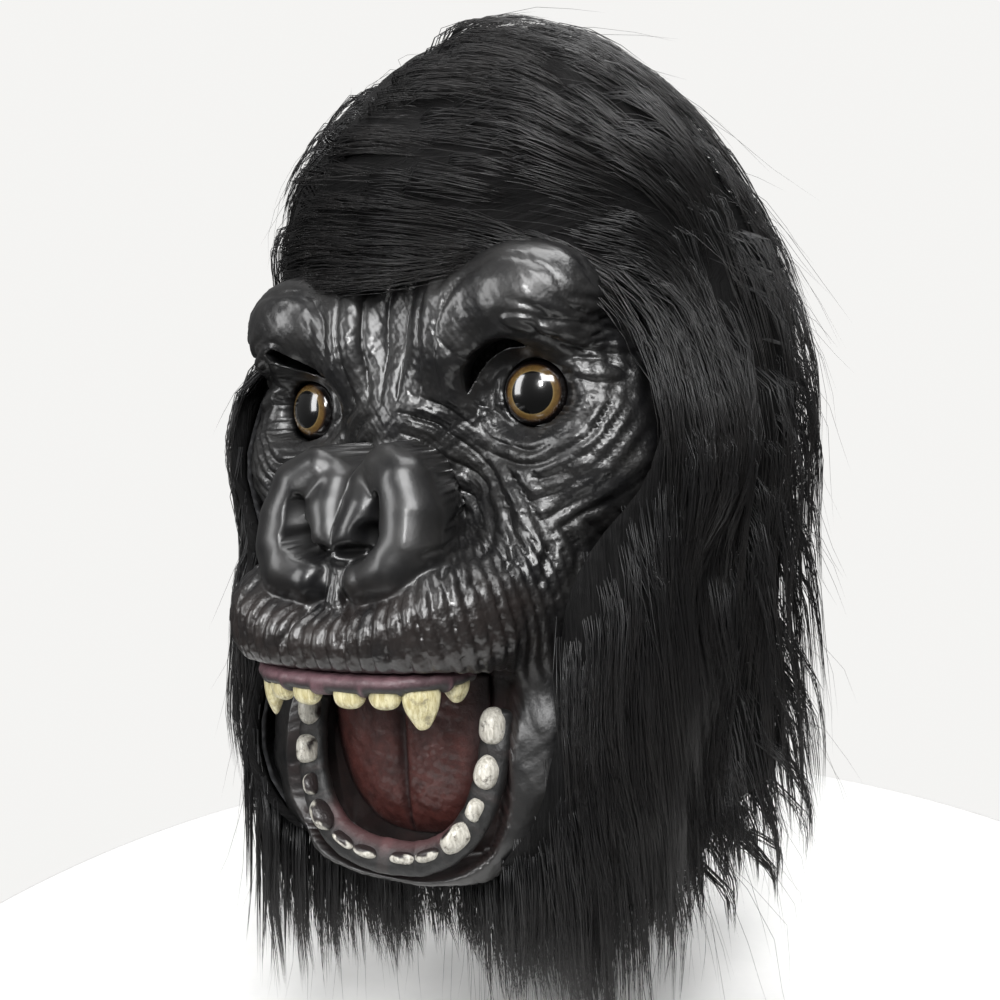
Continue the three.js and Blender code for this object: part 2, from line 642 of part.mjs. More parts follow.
/** A ray of the hood's sweep: where it starts and which way it goes. */
function hoodRay(drop, tilt, turn) {
  const along = [
    Math.sin(turn) * Math.cos(radians(tilt)),
    -Math.cos(turn) * Math.cos(radians(tilt)),
    Math.sin(radians(tilt)),
  ];
  return { from: [0, 0, -drop], along };
}

/** Length of a hood ray: the longest of it and its neighbours, so that the cloth spans hollows. */
function hoodReach(row, turn) {
  const aside = Math.PI / LOCK_COUNT;
  const below = row.tilt > 0 ? 0 : HOOD_SPAN;
  let longest = 0;
  for (const [step, fall] of [[0, 0], [-aside, 0], [aside, 0], [0, -below], [0, below]]) {
    const { from, along } = hoodRay(row.drop + fall, row.tilt, turn + step);
    longest = Math.max(longest, meet(hoodGap, from, along, HEAD_HALF_HEIGHT * 1.4));
  }
  return longest;
}

/** Where a ray of the hood's sweep leaves the form, pushed out by the given amount. */
function hoodPoint(row, turn, push) {
  const { from, along } = hoodRay(row.drop, row.tilt, turn);
  const t = hoodReach(row, turn) + push;
  return from.map((value, i) => value + along[i] * t);
}

const HOOD_ROWS = spreadStations(HOOD_STATIONS);

/** A ring of the hood's sweep that starts and ends at the nape. */
function hoodRing(row, columns, push) {
  return Array.from({ length: columns }, (_, j) => {
    const turn = (2 * Math.PI * j) / columns - Math.PI;
    return hoodPoint(row, turn, typeof push === 'function' ? push(row, turn) : push);
  });
}

/** Net of closed rings whose first ring is the crown's single point. */
function crownNet(skin, rings) {
  const net = skin.net(rings).map((ring) => [...ring, ring[0]]);
  return [net[0].map(() => net[0][0]), ...net.slice(1)];
}

/** Cutter through the front of the hood, with the outline of the face opening. */
function openingCutter() {
  const half = OPENING_OUTLINE.map(({ x, z }) => new THREE.Vector2(faceX(x), z * FACE_HEIGHT));
  const mirrored = half.slice(1, -1).reverse().map((p) => new THREE.Vector2(-p.x, p.y));
  const curve = new THREE.CatmullRomCurve3(
    [...half, ...mirrored].map((p) => new THREE.Vector3(p.x, p.y, 0)), true, 'centripetal',
  );
  const outline = new THREE.Shape(curve.getPoints(44).slice(0, -1).map((p) => new THREE.Vector2(p.x, p.y)));
  const plug = new THREE.ExtrudeGeometry(outline, { depth: 3 * MUZZLE_REACH, bevelEnabled: false });
  plug.rotateX(Math.PI / 2);
  plug.translate(0, -HEAD_HALF_DEPTH * 0.12, faceZ(0));
  return solidOf(plug);
}

const FACE_ROOM = faceWall(
  (point) => skinGap(point) - 2 * CLEARANCE,
  (point) => liningGap(point) + 2 * LATEX_WALL,
);

/** The largest piece that is left once the face and its opening are cut away. */
function withoutFace(solid) {
  const pieces = solid.subtract(openingCutter()).subtract(FACE_ROOM).decompose();
  return pieces.reduce((most, piece) => (piece.volume() > most.volume() ? piece : most));
}

/** The cloth hood: an open-bottomed bag with the face opening. */
function hoodBacking() {
  const skin = new Skin();
  const rings = (push) => HOOD_ROWS.map((row) => hoodRing(row, LOCK_COUNT, push));
  const outer = crownNet(skin, rings(CLOTH_WALL));
  const inner = crownNet(skin, rings(0));
  skin.cover(outer, false);
  skin.cover(inner, true);
  skin.bridge([...outer.at(-1)].reverse(), [...inner.at(-1)].reverse());
  return withoutFace(skin.solid());
}

/** Distance in the front view from a place to the edge of the face opening, 0 inside it. */
function fromOpening(x, z) {
  let nearest = Infinity;
  for (let i = 0; i + 1 < OPENING_OUTLINE.length; i += 1) {
    const a = OPENING_OUTLINE[i];
    const b = OPENING_OUTLINE[i + 1];
    const start = new THREE.Vector2(faceX(a.x), faceZ(a.z * FACE_HEIGHT));
    const along = new THREE.Vector2(faceX(b.x), faceZ(b.z * FACE_HEIGHT)).sub(start);
    const to = new THREE.Vector2(Math.abs(x), z).sub(start);
    const share = THREE.MathUtils.clamp(to.dot(along) / along.lengthSq(), 0, 1);
    nearest = Math.min(nearest, to.addScaledVector(along, -share).length());
  }
  return nearest;
}

/** Depth of the fur over a place on the hood: thin beside the face, full where it hangs. */
function pile(row, turn, furrow) {
  const [x, y, z] = hoodPoint(row, turn, 0);
  const widest = hoodReach({ drop: Math.min(row.drop, NOSE_DROP), tilt: row.tilt }, turn);
  const beside = smoothstep(Math.abs(turn), radians(55), radians(95));
  const hang = Math.max(widest - hoodReach(row, turn), 0) * beside;
  const taper = lerp(1, HEM_TAPER, smoothstep(-z, TAPER_START, HOOD_DROP));
  const chin = lerp(CHIN_PILE, 1, Math.max(beside, smoothstep(z, -HOOD_DROP + 60, -NOSE_DROP)));
  const full = (lerp(PILE_CROWN, PILE_SIDE, smoothstep(-z, 0, NOSE_DROP)) + hang) * taper * chin;
  const behind = smoothstep(y, -HEAD_HALF_DEPTH * 0.5, 0);
  const clear = Math.max(smoothstep(fromOpening(x, z), 0, PILE_RAMP), behind);
  return lerp(PILE_EDGE, full, clear) * (1 - LOCK_RELIEF * furrow * smoothstep(-z, 0, 60));
}

/** The whole fur skin: furrows between its locks, and a lower edge that hangs in pointed locks. */
function furSkin() {
  const skin = new Skin();
  const columns = LOCK_COLUMNS * LOCK_COUNT;
  const lift = CLOTH_WALL + SEAM_GAP;
  const lockShare = (turn) => Math.abs(((turn * LOCK_COUNT) / (2 * Math.PI)) % 1);
  const furrowAt = (turn) => Math.abs(1 - 2 * lockShare(turn)) ** 2;
  const swell = (turn) => 0.7 + 0.5 * Math.cos(turn) * Math.abs(Math.sin(turn)) + 0.2 * Math.sin(5 * turn);
  const outerRings = HOOD_ROWS.map((row) => hoodRing(
    row, columns, (r, turn) => lift + pile(r, turn, furrowAt(turn)),
  ));
  const hem = HOOD_ROWS.at(-1);
  const lockRing = (share, thin) => hoodRing(
    hem, columns, (r, turn) => lift + pile(r, turn, 0) * thin,
  ).map(([x, y, z], j) => {
    const turn = (2 * Math.PI * j) / columns - Math.PI;
    const tip = 1 - 0.8 * furrowAt(turn);
    return [x, y, z - share * LOCK_LENGTH * tip * swell(turn)];
  });
  const outer = crownNet(skin, [...outerRings, lockRing(0.5, 0.85), lockRing(1, 0.45)]);
  const inner = crownNet(skin, HOOD_ROWS.map((row) => hoodRing(row, LOCK_COUNT, lift)));
  skin.cover(outer, false);
  skin.cover(inner, true);
  skin.bridge([...outer.at(-1)].reverse(), [...inner.at(-1)].reverse());
  return withoutFace(skin.solid());
}

/** The fur cut into its sewn panels. */
function furPanels(material) {
  const fur = furSkin();
  const far = 4 * HEAD_HALF_HEIGHT;
  const seam = -CROWN_PANEL_DROP;
  const half = PANEL_GAP / 2;
  const low = -far;
  const chinTop = faceZ(-FACE_HEIGHT * 0.3);
  const chin = block([-CHIN_PANEL_HALF_WIDTH, -far, low], [CHIN_PANEL_HALF_WIDTH, 0, chinTop]);
  const chinRoom = block(
    [-CHIN_PANEL_HALF_WIDTH - PANEL_GAP, -far, low],
    [CHIN_PANEL_HALF_WIDTH + PANEL_GAP, 0, chinTop + PANEL_GAP],
  );
  const sideBlock = (side) => (side > 0
    ? block([half, -far, low], [far, BACK_PANEL_START - half, seam - half])
    : block([-far, -far, low], [-half, BACK_PANEL_START - half, seam - half]));
  return [
    ['fur_crown', block([-far, -far, seam + half], [far, far, far])],
    ['fur_back', block([-far, BACK_PANEL_START + half, low], [far, far, seam - half])],
    ['fur_side_left', sideBlock(1).subtract(chinRoom)],
    ['fur_side_right', sideBlock(-1).subtract(chinRoom)],
    ['fur_chin', chin],
  ].map(([name, region]) => meshOf(name, fur.intersect(region), material));
}

const finish = (color, roughness) => new THREE.MeshStandardMaterial({ color, roughness, metalness: 0 });
const LATEX = finish(0x141414, 0.3);
const FUR = finish(0x0c0c0e, 0.85);
const CLOTH = finish(0x1b1b1d, 0.95);
const EYE = finish(0x8a5a1c, 0.08);
const TOOTH = finish(0xd6cfae, 0.45);
const GUM = finish(0x6e4048, 0.4);
const TONGUE = finish(0x4a1614, 0.35);

const mask = new THREE.Group();
mask.add(
  meshOf('latex_face', latexFace(), LATEX),
  meshOf('eye_left', eye(1), EYE),
  meshOf('eye_right', eye(-1), EYE),
  ...jawSet(
    'upper', upperArch, UPPER_TEETH, new THREE.Vector3(0, 0, -1), UPPER_GUM_HEIGHT, 0.98,
    { gum: GUM, tooth: TOOTH },
  ),
  ...jawSet(
    'lower', lowerArch, LOWER_TEETH, new THREE.Vector3(0, -1, 0.45).normalize(), LOWER_GUM_HEIGHT, 1.14,
    { gum: GUM, tooth: TOOTH },
  ),
  meshOf('tongue', tongue(), TONGUE),
  meshOf('hood_backing', hoodBacking(), CLOTH),
  ...furPanels(FUR),
);

export default mask;
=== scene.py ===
"""Looks of the over-the-head gorilla mask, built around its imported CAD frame.

Lengths are millimetres until put() scales them. +Z is up, the face looks along -Y and the
origin is the inside top of the hood.
"""

import math

import bpy
import numpy as np
from mathutils import Matrix, Vector


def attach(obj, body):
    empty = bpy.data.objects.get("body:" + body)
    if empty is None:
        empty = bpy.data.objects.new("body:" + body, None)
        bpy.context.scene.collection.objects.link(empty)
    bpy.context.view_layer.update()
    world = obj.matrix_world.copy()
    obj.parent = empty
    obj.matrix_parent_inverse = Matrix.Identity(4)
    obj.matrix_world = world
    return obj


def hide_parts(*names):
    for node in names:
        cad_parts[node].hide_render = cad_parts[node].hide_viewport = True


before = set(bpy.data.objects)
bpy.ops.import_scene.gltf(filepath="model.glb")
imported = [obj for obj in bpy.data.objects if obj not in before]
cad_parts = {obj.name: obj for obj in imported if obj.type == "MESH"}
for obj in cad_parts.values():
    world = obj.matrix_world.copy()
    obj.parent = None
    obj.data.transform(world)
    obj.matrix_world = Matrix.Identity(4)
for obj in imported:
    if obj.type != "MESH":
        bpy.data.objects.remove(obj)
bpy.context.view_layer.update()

MM = 0.001

# The same named sizes as in the part's source
FACE_AXIS = 45.0
NOSE_DROP = 200.0
FACE_HALF_WIDTH = 92.0
FACE_HEIGHT = 235.0
MUZZLE_REACH = 110.0
LATEX_WALL = 2.6
HOOD_EASE = 3.0
HOOD_DROP = 362.0
EYE_CENTRE = np.array([52.0, -78.0, -157.0])
EYE_RISE = EYE_CENTRE[2] + NOSE_DROP
EYE_RADIUS = 12.5
EYE_TURN = math.radians(12)
EYE_LOOK = np.array([math.sin(EYE_TURN), -math.cos(EYE_TURN), 0.0])
MOUTH_HALF_WIDTH = 50.0
MOUTH_HALF_HEIGHT = 0.179 * FACE_HEIGHT
MOUTH_DROP = 0.389 * FACE_HEIGHT
MOUTH_FLOOR = 0.482 * MUZZLE_REACH
ROOF_EXPONENT = 10
ARCH_EXPONENT = 2.5

# Face forms as shares: place x y z, radii x y z, exponent, fillet
FACE_FORMS = {
    "temple": (0.674, 0.118, 0.128, 0.37, 0.273, 0.187, 2, 0.2),
    "cheek": (0.69, 0.227, 0.072, 0.304, 0.2, 0.106, 2, 0.13),
    "bridge": (0, 0.345, 0.15, 0.239, 0.2, 0.111, 2, 0.13),
    "jowl": (0.51, 0.318, -0.145, 0.272, 0.245, 0.187, 2, 0.2),
    "jaw": (0, 0.255, -0.393, 0.725, 0.5, 0.192, 2.3, 0.12),
    "lower_lip": (0, 0.57, -0.54, 0.42, 0.16, 0.04, 2.3, 0.1),
    "brow": (0.54, 0.327, 0.325, 0.33, 0.225, 0.098, 2, 0.13),
    "frown": (0.25, 0.382, 0.275, 0.19, 0.164, 0.115, 2, 0.09),
    "muzzle": (0, 0.555, -0.15, 0.665, 0.445, 0.114, 2.5, 0.13),
}
HOOD_FORMS = ("temple", "cheek", "jowl", "jaw")

# Eggs: across, forward of the face axis, above the nose's middle, then three radii
NOSE_CORE = (0, 60, 0, 30, 17, 24)
NOSE_SEAT = (0, 114, -8, 46, 32, 25)
NOSE_MASK = (0, 74, 0, 33, 22, 22)
NOSTRIL_MASK = (13, 90, -5, 10, 22, 8.5)
NOSTRILS = [
    (15, 100, -4, 5.6, 20, 5.2),
    (17.4, 95, 4, 2.4, 13, 7),
    (8, 99, -9.5, 8, 13, 2.8),
]
EYE_SOCKET = (EYE_CENTRE[0], 58, EYE_RISE, 24.8, 25, 17.4)

# Rolls: across, forward, above the nose's middle, radius
OUTER_ROLL = [
    (7.6, 75, 14, 8.5),
    (15.5, 79, 17.5, 9.3),
    (22.5, 81.5, 12.5, 10.6),
    (26, 83.5, 1.5, 11.8),
    (26.5, 86, -9, 11.8),
    (21.5, 89.5, -16.5, 11.2),
    (12, 92.5, -20, 8.4),
]
INNER_ROLL = [(8, 80, 12, 8.6), (8.3, 84, 3, 8.8), (5.6, 88, -4, 7.4), (0.8, 90, -9.5, 6)]
SEPTUM = [(0, 85, -7, 5.5), (0, 90, -16, 4.0), (0, 95, -27, 3.2)]
LIP_ROLL = [
    (56, 42, -58, 9),
    (59, 49, -78, 10),
    (57, 54, -98, 10),
    (49, 59, -114, 9),
    (34, 62, -122.5, 8),
    (12, 63, -126, 7.5),
    (0, 63, -126.5, 7.5),
]
# Bulges at the outer end of each brow: across, rise, half length, half height, swell
BROW_LENSES = [(77, 61, 14, 4.4, 2.6), (76, 49.5, 10, 3.8, 2.2), (60, 66, 9, 3.2, 1.4)]

# Sweep of the face: height share, reach share, tilt in degrees, side height share, rows
FACE_STATIONS = [
    (0.5, 0.35, 32, 0.5, 4),
    (0.41, 0.42, 20, 0.41, 24),
    (0.3, 0.5, 6, 0.31, 36),
    (0.18, 0.4, 0, 0.19, 36),
    (0.08, 0.7, 0, 0.09, 64),
    (-0.115, 0.86, -5, -0.09, 36),
    (-0.2, 0.97, -14, -0.16, 8),
    (-0.211, 0.92, -26, -0.19, 10),
    (-0.213, 0.53, -38, -0.22, 4),
    (-0.25, 0.48, -32, -0.25, 30),
    (-0.545, 0.49, 22, -0.42, 6),
    (-0.567, 0.6, 20, -0.45, 8),
    (-0.567, 0.78, 14, -0.47, 8),
    (-0.579, 0.79, -5, -0.5, 14),
    (-0.612, 0.6, -40, -0.58, 8),
    (-0.63, 0.3, -60, -0.63, 0),
]
FACE_COLUMNS = 288
LINING_STEP = 4
FACE_REACH = 178

# Edge of the hood's opening as shares of the face's half width and height
OPENING_OUTLINE = [
    (0, 0.388), (0.26, 0.395), (0.58, 0.412), (0.92, 0.34), (1.09, 0.2), (1.06, 0.06),
    (0.86, -0.06), (0.77, -0.18), (0.73, -0.4), (0.54, -0.51), (0.34, -0.572), (0, -0.606),
]

# Where each eye glances: degrees towards the mask's left, then upwards. The right eye's lift
# puts its black pupil over the top of its ring as painted shade from the lid.
EYE_GAZE = {1: (9, 0), -1: (-9, 5)}

LOWER_ARCH = dict(
    half=42.0, height=0.209 * FACE_HEIGHT, top=0.328 * FACE_HEIGHT,
    forward=0.545 * MUZZLE_REACH, lean=0.118 * MUZZLE_REACH,
)
UPPER_ARCH = dict(
    half=40.0, depth=0.273 * MUZZLE_REACH, forward=0.655 * MUZZLE_REACH,
    drop=MOUTH_DROP - MOUTH_HALF_HEIGHT + 3.8,
)
UPPER_POINTING = np.array([0.0, 0.0, -1.0])
TOOTH_ROOT = 1.3

# Teeth: name, place along half an arch, width, height, depth, how pointed, then how much of
# the tongue side the paint leaves bare on the right and on the left tooth
UPPER_TEETH = [
    ("upper_incisor_inner", 0.1, 11.6, 10.4, 7, 0.02, 0, 0),
    ("upper_incisor_outer", 0.32, 11.2, 10.4, 7, 0.05, 0, 0),
    ("upper_canine", 0.56, 13.5, 18, 8, 0.55, 0, 0),
    ("upper_molar", 0.86, 10, 11, 7.5, 0.4, 0, 0),
]
LOWER_TEETH = [
    ("lower_incisor_inner", 0.085, 10.6, 8.6, 4.6, 0.15, 0.64, 0.6),
    ("lower_incisor_outer", 0.25, 10.4, 8.6, 4.6, 0.15, 0.7, 0.66),
    ("lower_canine", 0.47, 13.6, 10.4, 8.6, 0.35, 0.7, 0.34),
    ("lower_premolar", 0.67, 9, 9, 6.4, 0.25, 0.74, 0.2),
    ("lower_molar", 0.85, 12, 9.6, 9.2, 0.15, 0.12, 0.1),
    ("lower_back_molar", 1.01, 13.4, 9.6, 10, 0.15, 0.1, 0.1),
]

CROWN_RAYS_DROP = 106.0
CROWN_ROWS = 34
SIDE_ROWS = 46
HOOD_COLUMNS = 132
HOOD_REACH = 210
CROWN_POWER = 0.9
UNDER_SHARE = 0.5
UNDER_START = 3.4
PILE_START = 2.4
PILE_CROWN = 13.0
PILE_SIDE = 31.0
PILE_EDGE = 7.0
PARTING = -22.0
COMB_STEPS = 12
STRAND_POINTS = 5
STRAND_LIMIT = 8800
FUR_BOX = ((-151, -170, -428), (151, 144, 35))
# Edge of the face that hair keeps off: across and height, along the top and down the side
OPENING_TOP = np.array([(0, -109.0), (24, -107), (53, -103), (85, -120), (100, -153)])
OPENING_SIDE = np.array([
    (0, -342), (46, -318), (59, -290), (66, -242), (77, -214), (97, -186), (100, -153.0)
])
OVERHANG = 3.0
# How low the hair reaches at each turn in degrees from the face
TIP_TURNS = [0, 20, 38, 58, 75, 125, 160, 180]
TIP_LEVELS = [-378, -392, -402, -386, -362, -366, -388, -390]

# Lamps: name, place and aim in metres, two sides in metres, watts
LAMPS = [
    ("key", (0.5, -0.8, 0.55), (0.0, -0.06, -0.2), (0.6, 0.6), 17),
    ("front", (-0.55, -0.9, 0.2), (0.0, -0.06, -0.2), (0.3, 0.7), 6),
    ("top", (0.1, 0.1, 0.9), (0, 0, -0.1), (0.8, 0.6), 10),
    ("back", (-0.35, 0.95, 0.35), (0.0, 0.05, -0.2), (0.7, 0.7), 9),
    ("glint", (0.22, -0.8, 0.1), (0.0, -0.1, -0.2), (0.07, 0.12), 2.6),
]


def smoothstep(x, low, high):
    """0 below low and 1 above high, with an S curve between them."""
    t = np.clip((x - low) / (high - low), 0, 1)
    return t * t * (3 - 2 * t)


def fall(x, low, high):
    """1 below low and 0 above high."""
    return 1 - smoothstep(x, low, high)


def lerp(a, b, share):
    return a + (b - a) * share


def signed_power(x, p):
    return np.sign(x) * np.abs(x) ** p


def unit(v):
    return v / np.maximum(np.linalg.norm(v, axis=-1, keepdims=True), 1e-9)


def ripple(points, size, seed):
    """Smooth noise of about -1 to 1: the mean of eight sine waves with seeded directions."""
    dice = np.random.default_rng(seed)
    total = 0
    for _ in range(8):
        way = unit(dice.normal(size=3)) * 2 * math.pi / (size * dice.uniform(0.7, 1.7))
        total = total + np.sin(points @ way + dice.uniform(0, 6.28))
    return total / 3.2


# ---- distances ----


def mirrored(points):
    return np.column_stack([np.abs(points[:, 0]), points[:, 1:]])


def face_place(across, forward, rise):
    return np.array([across, -FACE_AXIS - forward, rise - NOSE_DROP])


def egg(points, centre, radii, n=2.0):
    """Distance to an egg mirrored in X: (k - 1) over the slope of k, where k is the n-norm of
    the offsets divided by the radii."""
    share = np.abs(mirrored(points) - centre) / radii
    k = np.maximum((share**n).sum(1) ** (1 / n), 1e-3)
    slope = np.sqrt(((share ** (n - 1) / radii) ** 2).sum(1)) * k ** (1 - n)
    return (k - 1) / np.maximum(slope, 1e-6)


def joined(a, b, fillet):
    """The nearer of two distances, less a fillet where they are alike."""
    h = np.maximum(fillet - np.abs(a - b), 0) / fillet
    return np.minimum(a, b) - h * h * fillet / 4


def carved(a, b, fillet):
    """Form a with form b cut out of it."""
    return -joined(-a, b, fillet)


def head_gap(points, names):
    """Skull and neck with the named face forms, each joined with its own fillet."""
    skull = egg(points, (0, 0, -153), (102, 95, 150), 1.9)
    neck = egg(points, (0, 7, -302), (74, 68, 130), 2.6)
    gap = joined(skull, neck, 30)
    scale = np.array([FACE_HALF_WIDTH, MUZZLE_REACH, FACE_HEIGHT])
    for name in names:
        *form, n, fillet = FACE_FORMS[name]
        near = egg(points, face_place(*(form[:3] * scale)), form[3:] * scale, n)
        gap = joined(gap, near, fillet * FACE_HALF_WIDTH)
    return gap


def roll_gap(points, chain, fillet):
    """Distance to a soft roll: cones between balls, mirrored in X, joined with small fillets."""
    spots = np.array([face_place(*spot[:3]) for spot in chain])
    gap = None
    for i in range(len(chain) - 1):
        way = spots[i + 1] - spots[i]
        off = mirrored(points) - spots[i]
        share = np.clip(off @ way / (way @ way), 0, 1)
        off = off - share[:, None] * way
        near = np.linalg.norm(off, axis=1) - lerp(chain[i][3], chain[i + 1][3], share)
        gap = near if gap is None else joined(gap, near, fillet)
    return gap


def place_egg(points, form):
    return egg(points, face_place(*form[:3]), form[3:])


def mouth_gap(points):
    """Distance to the mouth's hollow: a rounded outline run forward from its floor."""
    u = np.abs(points[:, 0]) / MOUTH_HALF_WIDTH
    rise = points[:, 2] + NOSE_DROP + MOUTH_DROP
    w = np.abs(rise) / MOUTH_HALF_HEIGHT
    n = np.where(rise > 0, ROOF_EXPONENT, ARCH_EXPONENT)
    beside = ((u**n + w**n) ** (1 / n) - 1) * MOUTH_HALF_HEIGHT
    return np.maximum(beside, points[:, 1] + FACE_AXIS + MOUTH_FLOOR)


def lid_gap(points, thick):
    """Distance to the eyelids' ring around an eye, mirrored in X."""
    spoke = mirrored(points) - EYE_CENTRE
    along = spoke @ EYE_LOOK
    across = np.sqrt(np.maximum((spoke**2).sum(1) - along**2, 0))
    return np.hypot(across - EYE_RADIUS - 1.6, along - 2.2) - thick


def skin_gap(points):
    """Distance to the outside of the latex, with the rolls of the nose."""
    gap = joined(head_gap(points, FACE_FORMS), roll_gap(points, LIP_ROLL, 3), 9)
    gap = carved(gap, place_egg(points, NOSE_SEAT), 9)
    gap = joined(gap, place_egg(points, NOSE_CORE), 6)
    gap = joined(gap, roll_gap(points, SEPTUM, 2), 3)
    gap = joined(gap, roll_gap(points, OUTER_ROLL, 4), 3)
    gap = joined(gap, roll_gap(points, INNER_ROLL, 4), 2)
    for pit in NOSTRILS:
        gap = carved(gap, place_egg(points, pit), 2)
    gap = carved(gap, place_egg(points, EYE_SOCKET), 5.5)
    gap = joined(gap, lid_gap(points, 2.2), 2)
    return carved(gap, mouth_gap(points), LATEX_WALL)


def lining_gap(points):
    """Distance to the inside of the latex, a wall's thickness under a plainer outside."""
    plain = carved(head_gap(points, FACE_FORMS), mouth_gap(points), LATEX_WALL)
    return np.maximum(skin_gap(points), plain) + LATEX_WALL


def hood_gap(points):
    """Distance to the inside of the hood, which follows the head and not the muzzle."""
    return head_gap(points, HOOD_FORMS) - HOOD_EASE


def meet(gap_of, start, along, furthest):
    """Outermost place on each ray of a net where the distance turns negative: steps inwards
    of 0.65 of the distance, then halvings."""
    shape = start.shape[:-1]
    start, along = start.reshape(-1, 3), along.reshape(-1, 3)
    near = np.full(len(start), float(furthest))
    far = near.copy()
    live = np.arange(len(start))
    for _ in range(90):
        gap = gap_of(start[live] + along[live] * near[live, None])
        live = live[(gap > 0) & (near[live] > 3)]
        if not len(live):
            break
        gap = gap_of(start[live] + along[live] * near[live, None])
        far[live] = near[live]
        near[live] -= np.clip(gap * 0.65, 0.25, 12)
    for _ in range(9):
        middle = (near + far) / 2
        outside = gap_of(start + along * middle[:, None]) > 0
        far = np.where(outside, middle, far)
        near = np.where(outside, near, middle)
    return near.reshape(shape)


# ---- meshes ----


def net_faces(rows, columns, first=0, closed=False):
    """Two triangles for each cell of a net of corners."""
    r = np.arange(rows - 1)[:, None] * columns
    c = np.arange(columns if closed else columns - 1)[None, :]
    a = first + r + c
    b = first + r + (c + 1) % columns
    lower = np.stack([a, b, b + columns], -1).reshape(-1, 3)
    upper = np.stack([a, b + columns, a + columns], -1).reshape(-1, 3)
    return np.concatenate([lower, upper])


def fan(first, count, tip):
    """Triangles from a ring of corners to its tip."""
    k = np.arange(count)
    return np.stack([first + (k + 1) % count, first + k, np.full(count, tip)], -1)


def outwards(points, faces):
    """The same faces, turned if the volume they enclose is negative."""
    a, b, c = (points[faces[:, i]] for i in range(3))
    volume = (a * np.cross(b, c)).sum()
    return faces if volume > 0 else faces[:, ::-1]


def capped(net, tips):
    """Corners and faces of a net closed round its columns, with a fan to a tip at each end."""
    rows, columns = net.shape[:2]
    count = rows * columns
    points = np.concatenate([net.reshape(-1, 3), tips])
    last = fan(count - columns, columns, count + 1)[:, ::-1]
    faces = np.concatenate([net_faces(rows, columns, 0, True), fan(0, columns, count), last])
    return points, outwards(points, faces)


def put(name, points, faces, slot, finish, stands_for=(), values=None):
    """A named piece from corners in mm and triangles, with float attributes on its corners."""
    mesh = bpy.data.meshes.new(name)
    mesh.vertices.add(len(points))
    mesh.vertices.foreach_set("co", (points * MM).astype(np.float32).ravel())
    mesh.loops.add(faces.size)
    mesh.loops.foreach_set("vertex_index", faces.astype(np.int32).ravel())
    mesh.polygons.add(len(faces))
    mesh.polygons.foreach_set("loop_start", np.arange(0, faces.size, 3, dtype=np.int32))
    mesh.polygons.foreach_set("use_smooth", np.full(len(faces), True))
    for key, column in (values or {}).items():
        layer = mesh.attributes.new(key, "FLOAT", "POINT")
        layer.data.foreach_set("value", np.asarray(column, np.float32))
    mesh.update(calc_edges=True)
    mesh.validate()
    if finish is not None:
        mesh.materials.append(finish)
    piece = bpy.data.objects.new(name, mesh)
    bpy.context.scene.collection.objects.link(piece)
    if slot:
        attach(piece, "root")
        if stands_for:
            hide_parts(*stands_for)
    return piece


def cut(piece, cutters):
    """Cuts closed tools out of a closed piece and throws the tools away."""
    for tool in cutters:
        change = piece.modifiers.new("cut", "BOOLEAN")
        change.operation = "DIFFERENCE"
        change.solver = "MANIFOLD"
        change.object = tool
    bpy.context.view_layer.update()
    graph = bpy.context.evaluated_depsgraph_get()
    made = bpy.data.meshes.new_from_object(piece.evaluated_get(graph), depsgraph=graph)
    piece.modifiers.clear()
    old = piece.data
    piece.data = made
    made.name = old.name
    bpy.data.meshes.remove(old)
    for tool in cutters:
        bpy.data.objects.remove(tool)
    made.polygons.foreach_set("use_smooth", np.full(len(made.polygons), True))


def wall(outer, inner, step, closed=False):
    """Corners and faces of a closed wall between two nets. The inner net has one corner for
    every step corners of the outer one, and fans close the open borders."""
    rows, columns = outer.shape[:2]
    few_rows, few_columns = inner.shape[:2]
    points = np.concatenate([outer.reshape(-1, 3), inner.reshape(-1, 3)])
    base = rows * columns
    faces = [net_faces(rows, columns, 0, closed)]
    faces.append(net_faces(few_rows, few_columns, base, closed)[:, ::-1])
    out = np.arange(base).reshape(rows, columns)
    inn = base + np.arange(few_rows * few_columns).reshape(few_rows, few_columns)
    borders = [(out[0], inn[0], True), (out[-1], inn[-1], False)]
    if not closed:
        borders += [(out[:, 0], inn[:, 0], False), (out[:, -1], inn[:, -1], True)]
    for rim, line, turned in borders:
        if closed:
            rim = np.append(rim, rim[0])
            line = np.append(line, line[0])
        k = np.arange(len(rim) - 1)
        fans = np.stack([rim[k + 1], rim[k], line[k // step]], -1)
        j = np.arange(len(line) - 1)
        seams = np.stack([line[j], line[j + 1], rim[(j + 1) * step]], -1)
        strip = np.concatenate([fans, seams])
        faces.append(strip if turned else strip[:, ::-1])
    return points, np.concatenate(faces)


# ---- finishes ----


class Wire:
    """A socket of a tree, with arithmetic that adds the nodes it needs."""

    def __init__(self, tree, socket):
        self.tree = tree
        self.socket = socket

    def __add__(self, other):
        return self.tree.maths("ADD", self, other)

    def __rsub__(self, other):
        return self.tree.maths("SUBTRACT", other, self)

    def __mul__(self, other):
        return self.tree.maths("MULTIPLY", self, other)

    def __pow__(self, other):
        return self.tree.maths("POWER", self, other)


